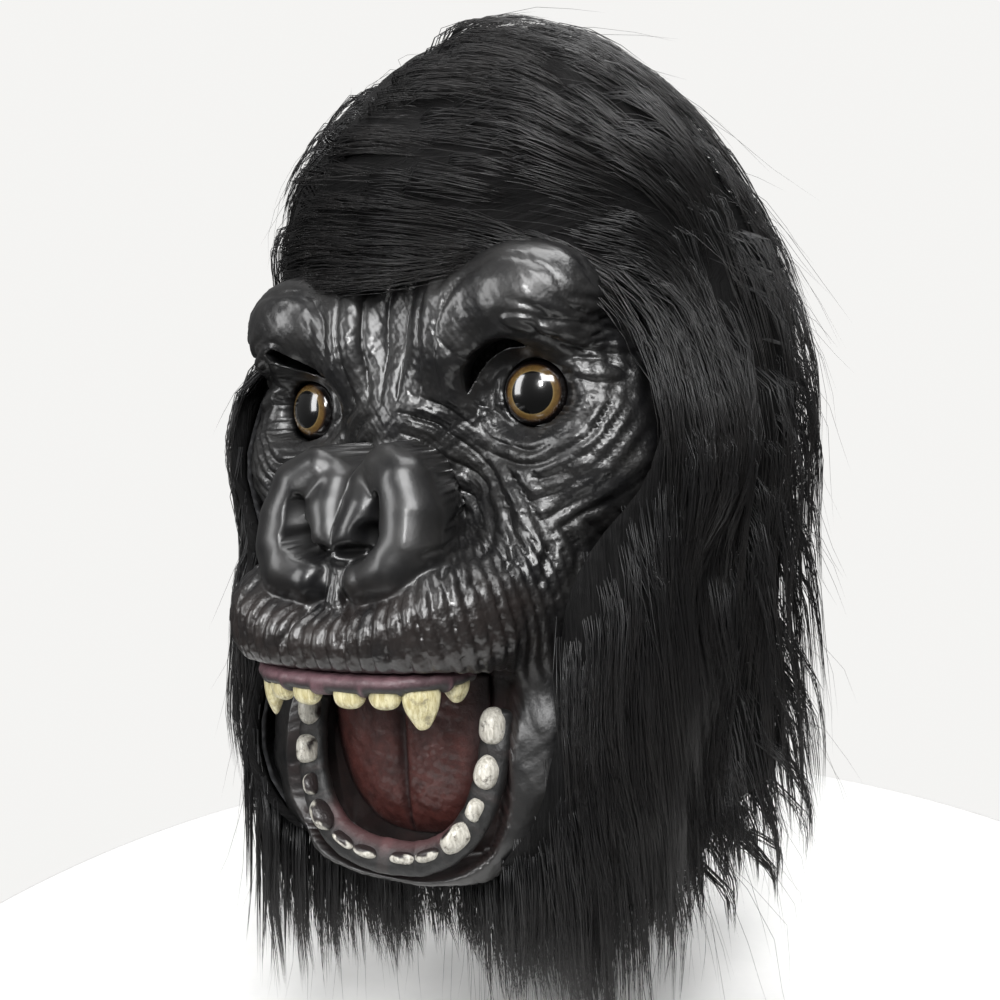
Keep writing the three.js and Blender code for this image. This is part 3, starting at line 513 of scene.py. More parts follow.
class Tree:
    """The nodes of a material or of the world."""

    def __init__(self, owner):
        owner.use_nodes = True
        self.nodes = owner.node_tree.nodes
        self.links = owner.node_tree.links
        self.nodes.clear()

    def node(self, kind, settings=None, inputs=None, out=0):
        """Adds a node, sets it up, then fills its sockets with values or links."""
        made = self.nodes.new(kind)
        for key, value in (settings or {}).items():
            if key == "stops":
                ramp = made.color_ramp
                for stop in list(ramp.elements)[1:]:
                    ramp.elements.remove(stop)
                ramp.elements[0].position = value[0][0]
                ramp.elements[0].color = (*value[0][1], 1)
                for place, colour in value[1:]:
                    ramp.elements.new(place).color = (*colour, 1)
            else:
                setattr(made, key, value)
        for key, value in (inputs or {}).items():
            if isinstance(value, Wire):
                self.links.new(value.socket, made.inputs[key])
            elif isinstance(value, tuple) and len(value) == 3 and made.inputs[key].type == "RGBA":
                made.inputs[key].default_value = (*value, 1)
            else:
                made.inputs[key].default_value = value
        return Wire(self, made.outputs[out]) if len(made.outputs) else None

    def maths(self, operation, a, b):
        return self.node("ShaderNodeMath", {"operation": operation}, {0: a, 1: b})


class Finish(Tree):
    """A material and what its nodes have in common."""

    def __init__(self, name):
        self.material = bpy.data.materials.new(name)
        super().__init__(self.material)
        self.place = self.node("ShaderNodeTexCoord", out=3)

    def worn(self, name):
        """A float attribute of the piece."""
        return self.node("ShaderNodeAttribute", {"attribute_name": name}, out=2)

    def stretched(self, vector, scale):
        return self.node("ShaderNodeMapping", None, {"Vector": vector, "Scale": scale})

    def grain(self, vector, scale, detail=2.0, rough=0.5):
        inputs = {"Vector": vector, "Scale": scale, "Detail": detail, "Roughness": rough}
        return self.node("ShaderNodeTexNoise", None, inputs)

    def span(self, value, low, high, to_low=0.0, to_high=1.0):
        """A value moved from one range to another and held inside it."""
        inputs = {0: value, 1: low, 2: high, 3: to_low, 4: to_high}
        return self.node("ShaderNodeMapRange", None, inputs)

    def mixed(self, share, a, b):
        return self.node("ShaderNodeMix", {"data_type": "RGBA"}, {0: share, 6: a, 7: b}, out=2)

    def relief(self, height, strength, distance):
        inputs = {"Height": height, "Strength": strength, "Distance": distance}
        return self.node("ShaderNodeBump", None, inputs)

    def done(self, inputs):
        """Principled shader with the given sockets, wired to the output."""
        skin = self.node("ShaderNodeBsdfPrincipled", None, inputs)
        self.node("ShaderNodeOutputMaterial", None, {"Surface": skin})
        return self.material


def latex_finish():
    """Black paint over wrinkled latex: brownish on the muzzle, dark red inside the mouth, with
    painted shade that leaves the nostrils and the grooves beside the nose near black.
    """
    f = Finish("glossy_latex")
    blotch = f.grain(f.place, 60, 4, 0.6)
    fine = f.grain(f.place, 900, 3, 0.6)
    pores = f.node("ShaderNodeTexVoronoi", None, {"Vector": f.place, "Scale": 700})
    black = f.mixed(f.span(blotch, 0.35, 0.7), (0.006, 0.006, 0.0065), (0.013, 0.0125, 0.012))
    brown = f.mixed(f.worn("tint") * f.span(blotch, 0.3, 0.6), black, (0.013, 0.0095, 0.0085))
    rim = f.mixed(f.worn("rim") * 0.8, brown, (0.03, 0.029, 0.028))
    patch = f.grain(f.place, 120, 5, 0.7)
    flesh = f.mixed(f.span(patch, 0.3, 0.75), (0.008, 0.006, 0.006), (0.024, 0.011, 0.01))
    lit = f.mixed(f.worn("inside"), rim, flesh)
    rough = f.span(blotch, 0.3, 0.7, 0.3, 0.44) + f.worn("rim") * 0.15
    height = fine * 0.3 + pores * 0.35 + f.grain(f.place, 260, 3, 0.5) * 0.9
    return f.done({
        # The hollow mask is painted shade: nostrils and nose grooves turn near black and matte.
        "Base Color": f.mixed(f.worn("hollow"), lit, (0.0008, 0.0008, 0.0008)),
        "Roughness": rough + f.worn("hollow") * 0.5 + f.worn("dull") * 0.05,
        "Coat Weight": (1 - f.worn("hollow")) * (1 - f.worn("dull")) * 0.32,
        "Coat Roughness": 0.17,
        "Specular IOR Level": 0.5,
        "Normal": f.relief(height * f.worn("rough"), 0.5, 0.0006),
    })


def eye_finish():
    """Glass eye: black pupil, amber ring with fine spokes, and a dark rim round it that is painted
    shade from the lids.
    """
    f = Finish("glass_eye")
    spoke = f.worn("spoke")
    streak = f.grain(f.place, 700, 4, 0.7)
    amber = f.mixed(f.span(streak, 0.3, 0.7), (0.04, 0.023, 0.007), (0.15, 0.088, 0.027))
    stops = [
        (0.0, (0.0015, 0.0015, 0.0015)),
        (0.615, (0.002, 0.002, 0.002)),
        (0.64, (0.19, 0.135, 0.055)),
        (0.68, (0.13, 0.078, 0.022)),
        # From here outwards the ring darkens into painted shade from the lids: a near-black rim.
        (0.77, (0.075, 0.04, 0.011)),
        (0.82, (0.03, 0.014, 0.006)),
        (0.86, (0.004, 0.003, 0.003)),
    ]
    ring = f.node("ShaderNodeValToRGB", {"stops": stops}, {"Fac": spoke})
    share = f.span(spoke, 0.63, 0.66) * f.span(spoke, 0.77, 0.82, 1.0, 0.0) * 0.6
    return f.done({
        "Base Color": f.mixed(share, ring, amber),
        "Roughness": 0.16,
        "Coat Weight": 1.0,
        "Coat Roughness": 0.015,
    })


def tooth_finish(name, ivory, stain, amount):
    """Painted tooth: streaks along it, brown in the hollows, dark at the root and where bare."""
    f = Finish(name)
    streak = f.grain(f.stretched(f.place, (900, 900, 160)), 1.0, 4, 0.65)
    patch = f.grain(f.place, 330, 4, 0.7)
    coat = f.mixed(f.span(streak, 0.4, 0.62), ivory, stain)
    worn = f.mixed(f.span(patch, 0.54, 0.7) * amount, coat, (0.07, 0.06, 0.048))
    bare = f.mixed(f.worn("bare"), worn, (0.02, 0.015, 0.015))
    return f.done({
        "Base Color": f.mixed(f.worn("root"), bare, (0.012, 0.011, 0.01)),
        "Roughness": f.span(patch, 0.3, 0.7, 0.28, 0.5),
        "Coat Weight": 0.25,
        "Normal": f.relief(streak + patch, 0.5, 0.0008),
    })


def gum_finish(name, flesh, deep, dark, blush):
    """Painted gum: mottled, darker around each tooth."""
    f = Finish(name)
    patch = f.grain(f.place, 160, 5, 0.7)
    coat = f.mixed(f.span(patch, 0.35, 0.65), flesh, deep)
    blushed = f.mixed(f.worn("tongueward") * blush, coat, (0.09, 0.04, 0.042))
    return f.done({
        "Base Color": f.mixed(f.worn("socket"), blushed, dark),
        "Roughness": f.span(patch, 0.3, 0.7, 0.46, 0.66),
        "Coat Weight": 0.07,
        "Coat Roughness": 0.25,
        "Normal": f.relief(f.grain(f.place, 420, 3, 0.6), 0.5, 0.0009),
    })


def tongue_finish():
    """Glossy dark red-brown paint, with painted shade that makes it almost black towards the
    sides, the lower end and the furrow.
    """
    f = Finish("tongue_paint")
    patch = f.grain(f.place, 130, 5, 0.72)
    pores = f.grain(f.place, 650, 3, 0.6)
    red = f.mixed(f.span(patch, 0.32, 0.7), (0.026, 0.0072, 0.006), (0.082, 0.025, 0.021))
    return f.done({
        # The edge mask is painted shade: near black in the furrow and towards the sides and lower
        # end.
        "Base Color": f.mixed(f.worn("edge"), red, (0.012, 0.004, 0.004)),
        "Roughness": f.span(pores, 0.3, 0.7, 0.34, 0.52),
        "Coat Weight": 0.22,
        "Coat Roughness": 0.14,
        "Normal": f.relief(pores * 0.7 + patch, 0.45, 0.0009),
    })


def cloth_finish():
    """Black knitted backing: wales and courses from two sine weaves on the piece's own UV."""
    f = Finish("knit_backing")
    uv = f.node("ShaderNodeUVMap", {"uv_map": "weave"})
    wales = f.node("ShaderNodeTexWave", {"bands_direction": "X"}, {"Vector": uv, "Scale": 90.0})
    courses = f.node("ShaderNodeTexWave", {"bands_direction": "Y"}, {"Vector": uv, "Scale": 70.0})
    knit = wales * courses
    fuzz = f.grain(f.place, 500, 3, 0.6)
    return f.done({
        "Base Color": f.mixed(knit, (0.006, 0.006, 0.007), (0.03, 0.03, 0.032)),
        "Roughness": 0.9,
        "Normal": f.relief(knit + fuzz * 0.5, 0.6, 0.0006),
    })


def fur_finish():
    """Synthetic hair: near black at the root, and a little paler and warmer at the tip as painted
    backlight on the hair's ends.
    """
    f = Finish("long_hair")
    root = (0.004, 0.004, 0.0045)
    # Paler warm tips are painted light: the glow of backlight on the hair's ends.
    hair = f.mixed(f.worn("share") ** 1.6, root, (0.022, 0.02, 0.019))
    shade = f.grain(f.place, 45, 3, 0.6)
    return f.done({
        "Base Color": f.mixed(f.span(shade, 0.35, 0.65) * 0.5, hair, root),
        "Roughness": 0.42,
        "Specular IOR Level": 0.5,
    })


def undercoat_finish():
    """Dense fur under the loose hair: fine streaks along its lie, with painted shade that darkens
    the furrows of its relief.
    """
    f = Finish("undercoat")
    uv = f.node("ShaderNodeUVMap", {"uv_map": "lie"})
    fine = f.grain(f.stretched(uv, (1500, 30, 1)), 1.0, 4, 0.75)
    locks = f.grain(f.stretched(uv, (110, 9, 1)), 1.0, 3, 0.6)
    # Painted shade: the colour follows the relief's noise and goes near black down in its furrows.
    share = f.span(fine * 0.6 + locks * 0.4, 0.38, 0.66)
    return f.done({
        "Base Color": f.mixed(share, (0.0014, 0.0014, 0.0015), (0.015, 0.0146, 0.0148)),
        "Roughness": 0.75,
        "Specular IOR Level": 0.12,
        "Normal": f.relief(fine * 0.5 + locks, 0.9, 0.004),
    })


LATEX = latex_finish()
EYE = eye_finish()
IVORY = tooth_finish("ivory_tooth", (0.62, 0.575, 0.36), (0.4, 0.345, 0.17), 0.55)
WHITE_TOOTH = tooth_finish("patchy_tooth", (0.6, 0.58, 0.52), (0.36, 0.34, 0.29), 1.0)
GUM = gum_finish("mauve_gum", (0.115, 0.06, 0.07), (0.06, 0.03, 0.036), (0.012, 0.011, 0.011), 0.0)
DARK_GUM = gum_finish(
    "dark_gum", (0.011, 0.01, 0.01), (0.02, 0.015, 0.014), (0.006, 0.006, 0.006), 0.9
)
TONGUE = tongue_finish()
CLOTH = cloth_finish()
HAIR = fur_finish()
UNDERCOAT = undercoat_finish()


# ---- face ----


def fold(phase, power=0.7):
    """Rounded ridge between sharp grooves at whole numbers of the phase."""
    return np.abs(np.sin(math.pi * phase)) ** power


def face_rays():
    """Start and direction of the sweep's rays: columns turn from side to side, closer in the
    middle, and rows move evenly from one station to the next."""
    stations = np.array(FACE_STATIONS, float)
    place = np.cumsum(np.append(0, stations[:-1, 4]))
    at = np.arange(place[-1] + 1)
    z, reach, tilt, side_z = (np.interp(at, place, column) for column in stations.T[:4])
    u = np.linspace(-1, 1, FACE_COLUMNS + 1)
    turn = np.radians(66 * u + 46 * u**3)
    tilt = np.radians(tilt)
    middle = z * FACE_HEIGHT - np.tan(tilt) * reach * MUZZLE_REACH
    side = smoothstep(np.abs(np.degrees(turn)), 32, 66)[None, :]
    lean = tilt[:, None] * (1 - side)
    start = np.zeros((len(at), len(u), 3))
    start[..., 1] = -FACE_AXIS
    start[..., 2] = lerp(middle[:, None], side_z[:, None] * FACE_HEIGHT, side) - NOSE_DROP
    across, ahead = np.sin(turn) * np.cos(lean), -np.cos(turn) * np.cos(lean)
    return start, np.stack([across, ahead, np.sin(lean)], -1)


def face_relief(p):
    """Wrinkles of the face as a height in mm, and its masks.

    Each family of folds has a phase that grows across it and a mask of where it lies. A fold's
    height is |sin(pi phase)| to a power, less its mean, so ridges are round and grooves sharp.
    """
    x = np.abs(p[:, 0])
    z = p[:, 2] + NOSE_DROP
    forward = -p[:, 1] - FACE_AXIS
    eye_x = x - EYE_CENTRE[0]
    eye_z = z - EYE_RISE
    from_eye = np.hypot(eye_x, eye_z)
    eye_angle = np.degrees(np.arctan2(eye_z, eye_x))
    warp = ripple(p, 34, 1) * 0.55 + ripple(p, 15, 2) * 0.22
    patchy = np.clip(0.75 + 0.45 * ripple(p, 20, 3), 0.15, 1.2)
    broken = np.clip(0.85 + 0.35 * ripple(p, 9, 4), 0.3, 1.2)

    rolls = np.minimum(roll_gap(p, OUTER_ROLL, 2), roll_gap(p, INNER_ROLL, 2))
    nose = smoothstep(-rolls, -3.5, -1)
    nose = np.maximum(nose, smoothstep(-place_egg(p, NOSE_MASK), -1, 1.5))
    mouth = smoothstep(-mouth_gap(p), -2.5, 0.5)

    outer = 12 * smoothstep(eye_x, 0, 14)
    crescent = smoothstep(-eye_z * 0.9 + np.maximum(eye_x, 0) * 0.55 + 8, 6, 16)
    crescent *= smoothstep(from_eye, 15.5, 18) * fall(from_eye - outer, 36, 45)
    crescent *= fall(-eye_x, 16, 30)
    crescent *= 1 - smoothstep(from_eye, 25, 32) * smoothstep(-eye_x, -12, 2)
    wavy = 0.2 * np.sin(np.radians(eye_angle * 3))
    crescent_fold = fold(from_eye / 5.6 + warp * 0.6 + wavy, 0.62)
    beads = 0.74 + 0.26 * fold(eye_angle / 23 + warp * 3.2, 0.5)

    from_nose = np.hypot(x + 20, z + 30)
    cheek = smoothstep(from_nose, 52, 58) * fall(from_nose, 100, 114)
    cheek *= smoothstep(z, -30, -14) * fall(z, 38, 46)
    cheek *= smoothstep(x, 4, 14) * (1 - crescent)
    cheek_fold = 0.86 * fold(from_nose / 8.1 + warp * 0.45, 0.5)
    cheek_fold = cheek_fold + 0.14 * fold(from_nose / 2.6 + warp)

    around = np.degrees(np.arctan2(x, np.maximum(forward - 20, 5)))
    pleat = fall(z, -14, -2) * smoothstep(z, -66, -55) * (1 - nose)
    pleat *= smoothstep(forward, 14, 34) * fall(x, 62, 74)
    pleat_fold = fold(around * (1 + 0.0035 * (z + 35)) / 3.7 + warp * 0.22, 0.55)

    from_brow = np.hypot((x - 50) * 0.8, z - 70)
    brow = smoothstep(50 - x, 2, 22) * smoothstep(from_brow, 11, 16)
    brow *= fall(from_brow, 40, 52) * smoothstep(z, 50, 58)
    brow = np.maximum(brow, 0.7 * smoothstep(from_brow, 15, 18) * smoothstep(z, 74, 80))
    brow_fold = fold(from_brow / 7.6 + warp * 0.45 + 0.35, 0.5)

    outer_lid = smoothstep(eye_x, -2, 10) * smoothstep(z, 50, 54) * fall(z, 70, 78)
    outer_fold = fold((from_eye + 0.2 * eye_x) / 7.2 + warp * 0.5 + 0.2, 0.5)
    frown = fall(x, 19, 27) * smoothstep(z, 40, 48)
    frown_fold = fold(p[:, 0] / (8.6 + 0.05 * (z - 60)) + 0.28 + warp * 0.16, 0.42)
    side = smoothstep(x, 66, 78) * smoothstep(z, 10, 30)
    side_fold = fold(z / 6.5 + warp * 1.4 + x / 40, 0.6)
    jaw = smoothstep(-z, 62, 80) * (1 - mouth)
    jaw_fold = fold(around / 11 + warp * 0.6, 0.6)

    # Families of folds: where they lie, height, mean, ridges
    families = [
        (crescent * patchy * beads, 2.5, 0.62, crescent_fold),
        (cheek * patchy, 4.2, 0.62, cheek_fold),
        (pleat * broken, 2.3, 0.72, pleat_fold),
        (brow * (1 - frown) * patchy, 1.7, 0.7, brow_fold),
        (outer_lid * (1 - brow) * patchy, 1.5, 0.7, outer_fold),
        (frown, 2.6, 0.75, frown_fold),
        (side * (1 - crescent) * (1 - brow) * patchy, 1.4, 0.6, side_fold),
        (jaw, 0.25, 0.6, jaw_fold),
    ]
    height = sum(where * tall * (ridges - mean) for where, tall, mean, ridges in families)
    for across, rise, half_long, half_tall, swell in BROW_LENSES:
        leaning = z - rise + 0.25 * (x - across)
        off = ((x - across) / half_long) ** 2 + (leaning / half_tall) ** 2
        height = height + swell * np.sqrt(np.maximum(1 - off, 0))
        height = height - 0.5 * np.exp(-(((off - 1.15) / 0.3) ** 2))
    creased = np.clip(crescent + cheek + pleat * 0.8 + side * 0.7 + 0.12, 0, 1)
    height = height + creased * (1 - 0.7 * pleat) * 0.3 * ripple(p, 5.2, 6)
    height = height + 0.12 * ripple(p, 3.1, 7)

    lean_out = 3.0 + 0.42 * np.maximum(-z - 14, 0)
    philtrum = np.exp(-(((x - lean_out) / 1.7) ** 2)) * smoothstep(-z, 13, 18) * fall(-z, 36, 46)
    height = height * (1 - nose) * (1 - mouth) - philtrum * 2.1 * (1 - nose * 0.7)
    crease = np.exp(-(((z + 10 - (x - 38) * 0.5) / 0.9) ** 2)) * smoothstep(x, 35, 38) * nose
    height = height - crease * 0.9 + nose * 0.1 * ripple(p, 12, 8)
    height = height * (1 - 0.6 * smoothstep(from_eye, 12.5, 15) * fall(from_eye, 17, 20))

    # Nostrils and the groove beside the nose: the hollow mask below paints shade there, near black.
    nostril = smoothstep(-place_egg(p, NOSTRIL_MASK), 0.3, 2.2)
    for roll in (OUTER_ROLL, INNER_ROLL):
        nostril *= smoothstep(roll_gap(p, roll, 4), 0.1, 1.2)
    groove = smoothstep(x, 8.5, 11.5) * fall(x, 18, 22) * smoothstep(z, -15, -11)
    groove *= fall(z, 8, 12) * fall(forward, 84, 91)
    lip = smoothstep(-z, 118, 132) * smoothstep(forward, 40, 62) * (1 - mouth)
    corner = smoothstep(-z, 44, 60) * (1 - mouth) * smoothstep(x, 42, 52)
    masks = {
        "inside": mouth * smoothstep(-forward, -76, -66),
        "hollow": np.maximum(nostril, groove),
        "tint": smoothstep(-z, 14, 30) * fall(-z, 54, 62) * smoothstep(forward, 50, 80),
        "rim": lip * fall(x, 38, 52),
        "dull": np.maximum(corner, 0.4 * nose),
        "rough": np.clip(0.35 + creased, 0.2, 1.2) * (1 - 0.75 * nose),
    }
    return height, masks


def eye_frame(side):
    """The centre of an eye, then the axes across, up and along it."""
    look = EYE_LOOK * (side, 1, 1)
    up = np.array([0.0, 0.0, 1.0])
    return EYE_CENTRE * (side, 1, 1), unit(np.cross(look, up)), up, look


def prism(outline, start, end, name):
    """Closed tool: an outline of corners carried from a start offset to an end offset."""
    middle = outline.mean(0)
    net = np.stack([outline + start, outline + end])
    return put(name, *capped(net, [middle + start, middle + end]), None, None)


def slit_outline(side):
    """Edge of a viewing slit. The left one is a crescent round the eye's upper inner side: an
    arc whose radius shrinks as it climbs, fullest in its middle. The right one is a wedge, round
    at its outer end and pointed at its inner end."""
    share = np.linspace(0, 1, 24)
    if side > 0:
        angle = np.radians(lerp(177, 80, share))
        arc = np.stack([np.cos(angle), np.sin(angle)], -1) * lerp(23.0, 16.8, share)[:, None]
        middle = arc + EYE_CENTRE[[0, 2]]
        half = 0.25 + 1.75 * np.sin(math.pi * share) ** 0.6
    else:
        height = lerp(-133.5, -149.5, share) + 2 * share * (1 - share)
        middle = np.stack([lerp(-58, -29, share), height], -1)
        half = 0.3 + 3.2 * np.sqrt(np.minimum(share * 9, 1)) * (1 - share) ** 0.7
    way = unit(np.gradient(middle, axis=0))
    beside = np.stack([-way[:, 1], way[:, 0]], -1) * half[:, None]
    edge = np.concatenate([middle + beside, (middle - beside)[::-1]])
    return np.stack([edge[:, 0], np.full(len(edge), -FACE_AXIS), edge[:, 1]], -1)


def face_skin():
    """The latex face: where the sweep's rays leave the forms, moved along the normals by the
    relief, with a plainer lining inside, and cut for the eyes and the slits."""
    start, along = face_rays()
    bare = start + along * meet(skin_gap, start, along, FACE_REACH)[..., None]
    normals = unit(np.cross(np.gradient(bare, axis=1), np.gradient(bare, axis=0)))
    normals *= np.sign((normals * along).sum(-1).mean())
    height, masks = face_relief(bare.reshape(-1, 3))
    outer = bare + normals * height.reshape(bare.shape[:2])[..., None]
    few_start, few_along = (net[::LINING_STEP, ::LINING_STEP] for net in (start, along))
    inner = few_start + few_along * meet(lining_gap, few_start, few_along, FACE_REACH)[..., None]
    points, faces = wall(outer, inner, LINING_STEP)
    spare = np.zeros(len(points) - len(height))
    values = {key: np.append(value, spare) for key, value in masks.items()}
    faces = outwards(points, faces)
    piece = put("face_skin", points, faces, "latex", LATEX, ["latex_face"], values)
    tools = []
    for side in (-1, 1):
        centre, across, up, look = eye_frame(side)
        angle = np.linspace(0, 2 * math.pi, 48, endpoint=False)[:, None]
        ring = centre + (EYE_RADIUS + 0.2) * (np.cos(angle) * across + np.sin(angle) * up)
        tools.append(prism(ring, look * -24, look * 24, "eye_hole"))
        ahead = np.array([0, -1.0, 0])
        tools.append(prism(slit_outline(side), ahead * -20, ahead * 90, "slit"))
    cut(piece, tools)


def eye_dome(side):
    """A glass eye: a dome on a short skirt, turned round the eye's own axis. Its finish reads
    the distance from the axis of its gaze."""
    sectors = 72
    angle = np.linspace(0, math.pi / 2, 28)[:-1]
    radius = np.append(11.0, EYE_RADIUS * np.cos(angle))
    height = np.append(-3.0, 3 + 6.5 * np.sin(angle))
    round_ = np.linspace(0, 2 * math.pi, sectors, endpoint=False)
    centre, across, up, look = eye_frame(side)
    spin = np.cos(round_)[:, None] * across + np.sin(round_)[:, None] * up
    net = centre + radius[:, None, None] * spin[None] + height[:, None, None] * look
    points, faces = capped(net, [centre - 3 * look, centre + 9.5 * look])
    turned, lifted = np.radians(EYE_GAZE[side])
    gaze = unit(np.array([math.sin(turned), -math.cos(turned), math.tan(lifted)]))
    off = points - centre
    off = off - (off @ gaze)[:, None] * gaze
    skirt = np.append(np.repeat(height, sectors), [-3, 9]) < 2.9
    spoke = np.maximum(np.linalg.norm(off, axis=1) / EYE_RADIUS, skirt)
    name = "eye_left" if side > 0 else "eye_right"
    put(f"{name}_dome", points, faces, "eye", EYE, [name], {"spoke": spoke})


face_skin()
for side in (-1, 1):
    eye_dome(side)


# ---- teeth, gums and tongue ----

LOWER_POINTING = unit(np.array([0, -1, 0.45]))


def lower_arch(at):
    """Middle of the lower gum: a squarish half ring, straight up past its ends."""
    angle = np.clip(at, -1, 1) * math.pi / 2
    x = LOWER_ARCH["half"] * signed_power(np.sin(angle), 2 / ARCH_EXPONENT)
    down = np.maximum(np.cos(angle), 0) ** (2 / ARCH_EXPONENT) - np.maximum(np.abs(at) - 1, 0)
    y = -FACE_AXIS - LOWER_ARCH["forward"] - LOWER_ARCH["lean"] * down
    z = -NOSE_DROP - LOWER_ARCH["top"] - LOWER_ARCH["height"] * down
    return np.stack([x, y, z], -1)


def upper_arch(at):
    """Middle of the upper gum: a level squarish half ring."""
    angle = at * math.pi / 2
    x = UPPER_ARCH["half"] * signed_power(np.sin(angle), 2 / ARCH_EXPONENT)
    front = np.maximum(np.cos(angle), 0) ** (2 / ARCH_EXPONENT)
    y = -FACE_AXIS - UPPER_ARCH["forward"] - UPPER_ARCH["depth"] * front
    return np.stack([x, y, np.full_like(x, -NOSE_DROP - UPPER_ARCH["drop"])], -1)


def arch_frame(arch, at, pointing):
    at = np.atleast_1d(np.asarray(at, float))
    along = unit(arch(at + 0.01) - arch(at - 0.01))
    across = unit(np.cross(along, pointing))
    return arch(at), along, across, unit(np.cross(across, along))


def tooth_crown(name, arch, at, side, pointing, size, finish, slot, seed):
    """A tooth: a ball whose sections are squared and narrow towards the tip, with shallow
    dents along it."""
    wide, tall, deep, point, *unpainted = size
    rings, sectors = 20, 28
    polar = np.linspace(0, math.pi, rings + 1)[1:-1]
    round_ = np.linspace(0, 2 * math.pi, sectors, endpoint=False)
    ball = np.stack(np.broadcast_arrays(
        np.sin(polar)[:, None] * np.cos(round_),
        np.sin(polar)[:, None] * np.sin(round_),
        np.cos(polar)[:, None],
    ), -1).reshape(-1, 3)
    ball = np.concatenate([ball, [[0, 0, 1.0], [0, 0, -1.0]]])
    narrow = 1 - point * smoothstep(ball[:, 2], -0.4, 1) * 0.8
    section = narrow * (1 + 0.06 * ripple(ball * (1, 1, 0.45), 1.3, seed))
    rise = signed_power(ball[:, 2], 0.86) * tall / 2 + tall / 2 - TOOTH_ROOT
    centre, along, across, tip = arch_frame(arch, side * at, pointing)
    points = (
        centre
        + along * (signed_power(ball[:, 0], 0.7) * wide / 2 * section)[:, None]
        + across * (signed_power(ball[:, 1], 0.9) * deep / 2 * section)[:, None]
        + tip * rise[:, None]
    )
    points, faces = capped(points[:-2].reshape(-1, sectors, 3), points[-2:])
    root = fall(ball[:, 2] * tall / 2 + tall / 2, 2.6, 4.4)
    inward = ball[:, 1] * np.sign(arch_frame(arch, 0.0, pointing)[2][0, 1])
    edge = inward + 0.35 * ripple(ball, 0.9, seed + 40)
    share = unpainted[side > 0]
    bare = smoothstep(share * 1.75 - 1 + edge, 0.05, 0.3) * (share > 0)
    label = f"{name}_{'left' if side > 0 else 'right'}"
    values = {"root": root, "bare": bare}
    put(f"{label}_crown", points, faces, slot, finish, [label], values)


def gum_ridge(label, arch, pointing, reach, thick, high, teeth, finish, slot, ends, swelling):
    """A gum: an oval section carried along its arch, swelling between the teeth and dipping
    around each, with rounded ends."""
    steps, sides = 220, 26
    at = np.linspace(-reach, reach, steps + 1)
    centre, along, across, tip = arch_frame(arch, at, pointing)
    past = ((np.abs(at) - reach + ends) / ends).clip(0, 1)
    end = np.sqrt(np.clip(1 - past**2, 0.0004, 1))
    angle = np.linspace(0, 2 * math.pi, sides, endpoint=False)
    length = np.cumsum(np.append(0, np.linalg.norm(np.diff(centre, axis=0), axis=1)))
    near = np.full(len(at), 9.0)
    for _, spot, wide, *_ in teeth:
        for sign in (-1, 1):
            off = np.abs(length - np.interp(sign * spot, at, length)) / (wide / 2)
            near = np.minimum(near, off)
    swell = swelling * smoothstep(near, 0.7, 1.15)[:, None]
    c = np.cos(angle)[None, :]
    s = np.sin(angle)[None, :]
    wide = thick / 2 * signed_power(c, 0.85) * end[:, None] * (1 + 0.4 * swell)
    tall = high / 2 * signed_power(s, 0.85) * end[:, None] * (1 + swell * (1 + s))
    across, tip = across[:, None], tip[:, None]
    net = centre[:, None] + across * wide[..., None] + tip * tall[..., None]
    bumps = 0.22 * ripple(net.reshape(-1, 3), 7, 11).reshape(wide.shape) * end[:, None]
    net = net + (across * c[..., None] + tip * s[..., None]) * bumps[..., None]
    points, faces = capped(net, [net[0].mean(0), net[-1].mean(0)])
    inward = c * np.sign(across[steps // 2, 0, 1])
    tongueward = smoothstep(inward, -0.2, 0.7) * smoothstep(0.62 - np.abs(at), 0, 0.2)[:, None]
    socket = fall(near, 1.0, 1.2)[:, None] * smoothstep(s, -0.35, 0.4) * (1 - 0.7 * tongueward)
    masks = {"socket": socket, "tongueward": tongueward}
    values = {key: np.append(value.ravel(), [0, 0]) for key, value in masks.items()}
    put(f"{label}_ridge", points, faces, slot, finish, [label], values)


def tongue_body():
    """The tongue: a shield that domes forward, with a furrow down its middle and fine ripples,
    and a flat back."""
    across, down, few = 96, 80, 4
    u = np.linspace(-1, 1, across + 1)[None, :]
    s = np.linspace(0, 1, down + 1)[:, None] ** 0.9
    half = 36 * np.maximum(1 - s**3, 0) ** (1 / ARCH_EXPONENT) + 0.5
    dome = (1 - np.abs(u) ** 3) * (1 - s**6)
    furrow = 3.4 * np.exp(-((u / 0.06) ** 2)) + 1.5 * np.exp(-((u / 0.2) ** 2))
    x = u * half
    z = np.broadcast_to(-259.4 - s * 64, x.shape)
    flat = np.stack([x, np.zeros_like(x), z], -1).reshape(-1, 3)
    bumps = 0.35 * ripple(flat * (1, 1, 0.4), 9, 21) + 0.18 * ripple(flat, 4, 22)
    rise = 8 * dome - furrow * (1 - s**4) * (1 - np.abs(u) ** 3) + bumps.reshape(x.shape) * dome
    front = np.stack([x, -99.9 - np.maximum(rise, 0), z], -1)
    back = np.stack([x, np.full_like(x, -98.7), z], -1)[::few, ::few]
    points, faces = wall(front, back, few)
    # Painted shade: darker in the furrow, at the sides and towards the lower end.
    edge = smoothstep(np.abs(u), 0.72, 0.98) + 0.9 * np.exp(-((u / 0.05) ** 2))
    edge = np.clip(edge + smoothstep(s, 0.86, 1) * 0.6, 0, 1)
    edge = np.append(edge.ravel(), np.ones(back.shape[0] * back.shape[1]))
    faces = outwards(points, faces)
    put("tongue_body", points, faces, "tongue", TONGUE, ["tongue"], {"edge": edge})


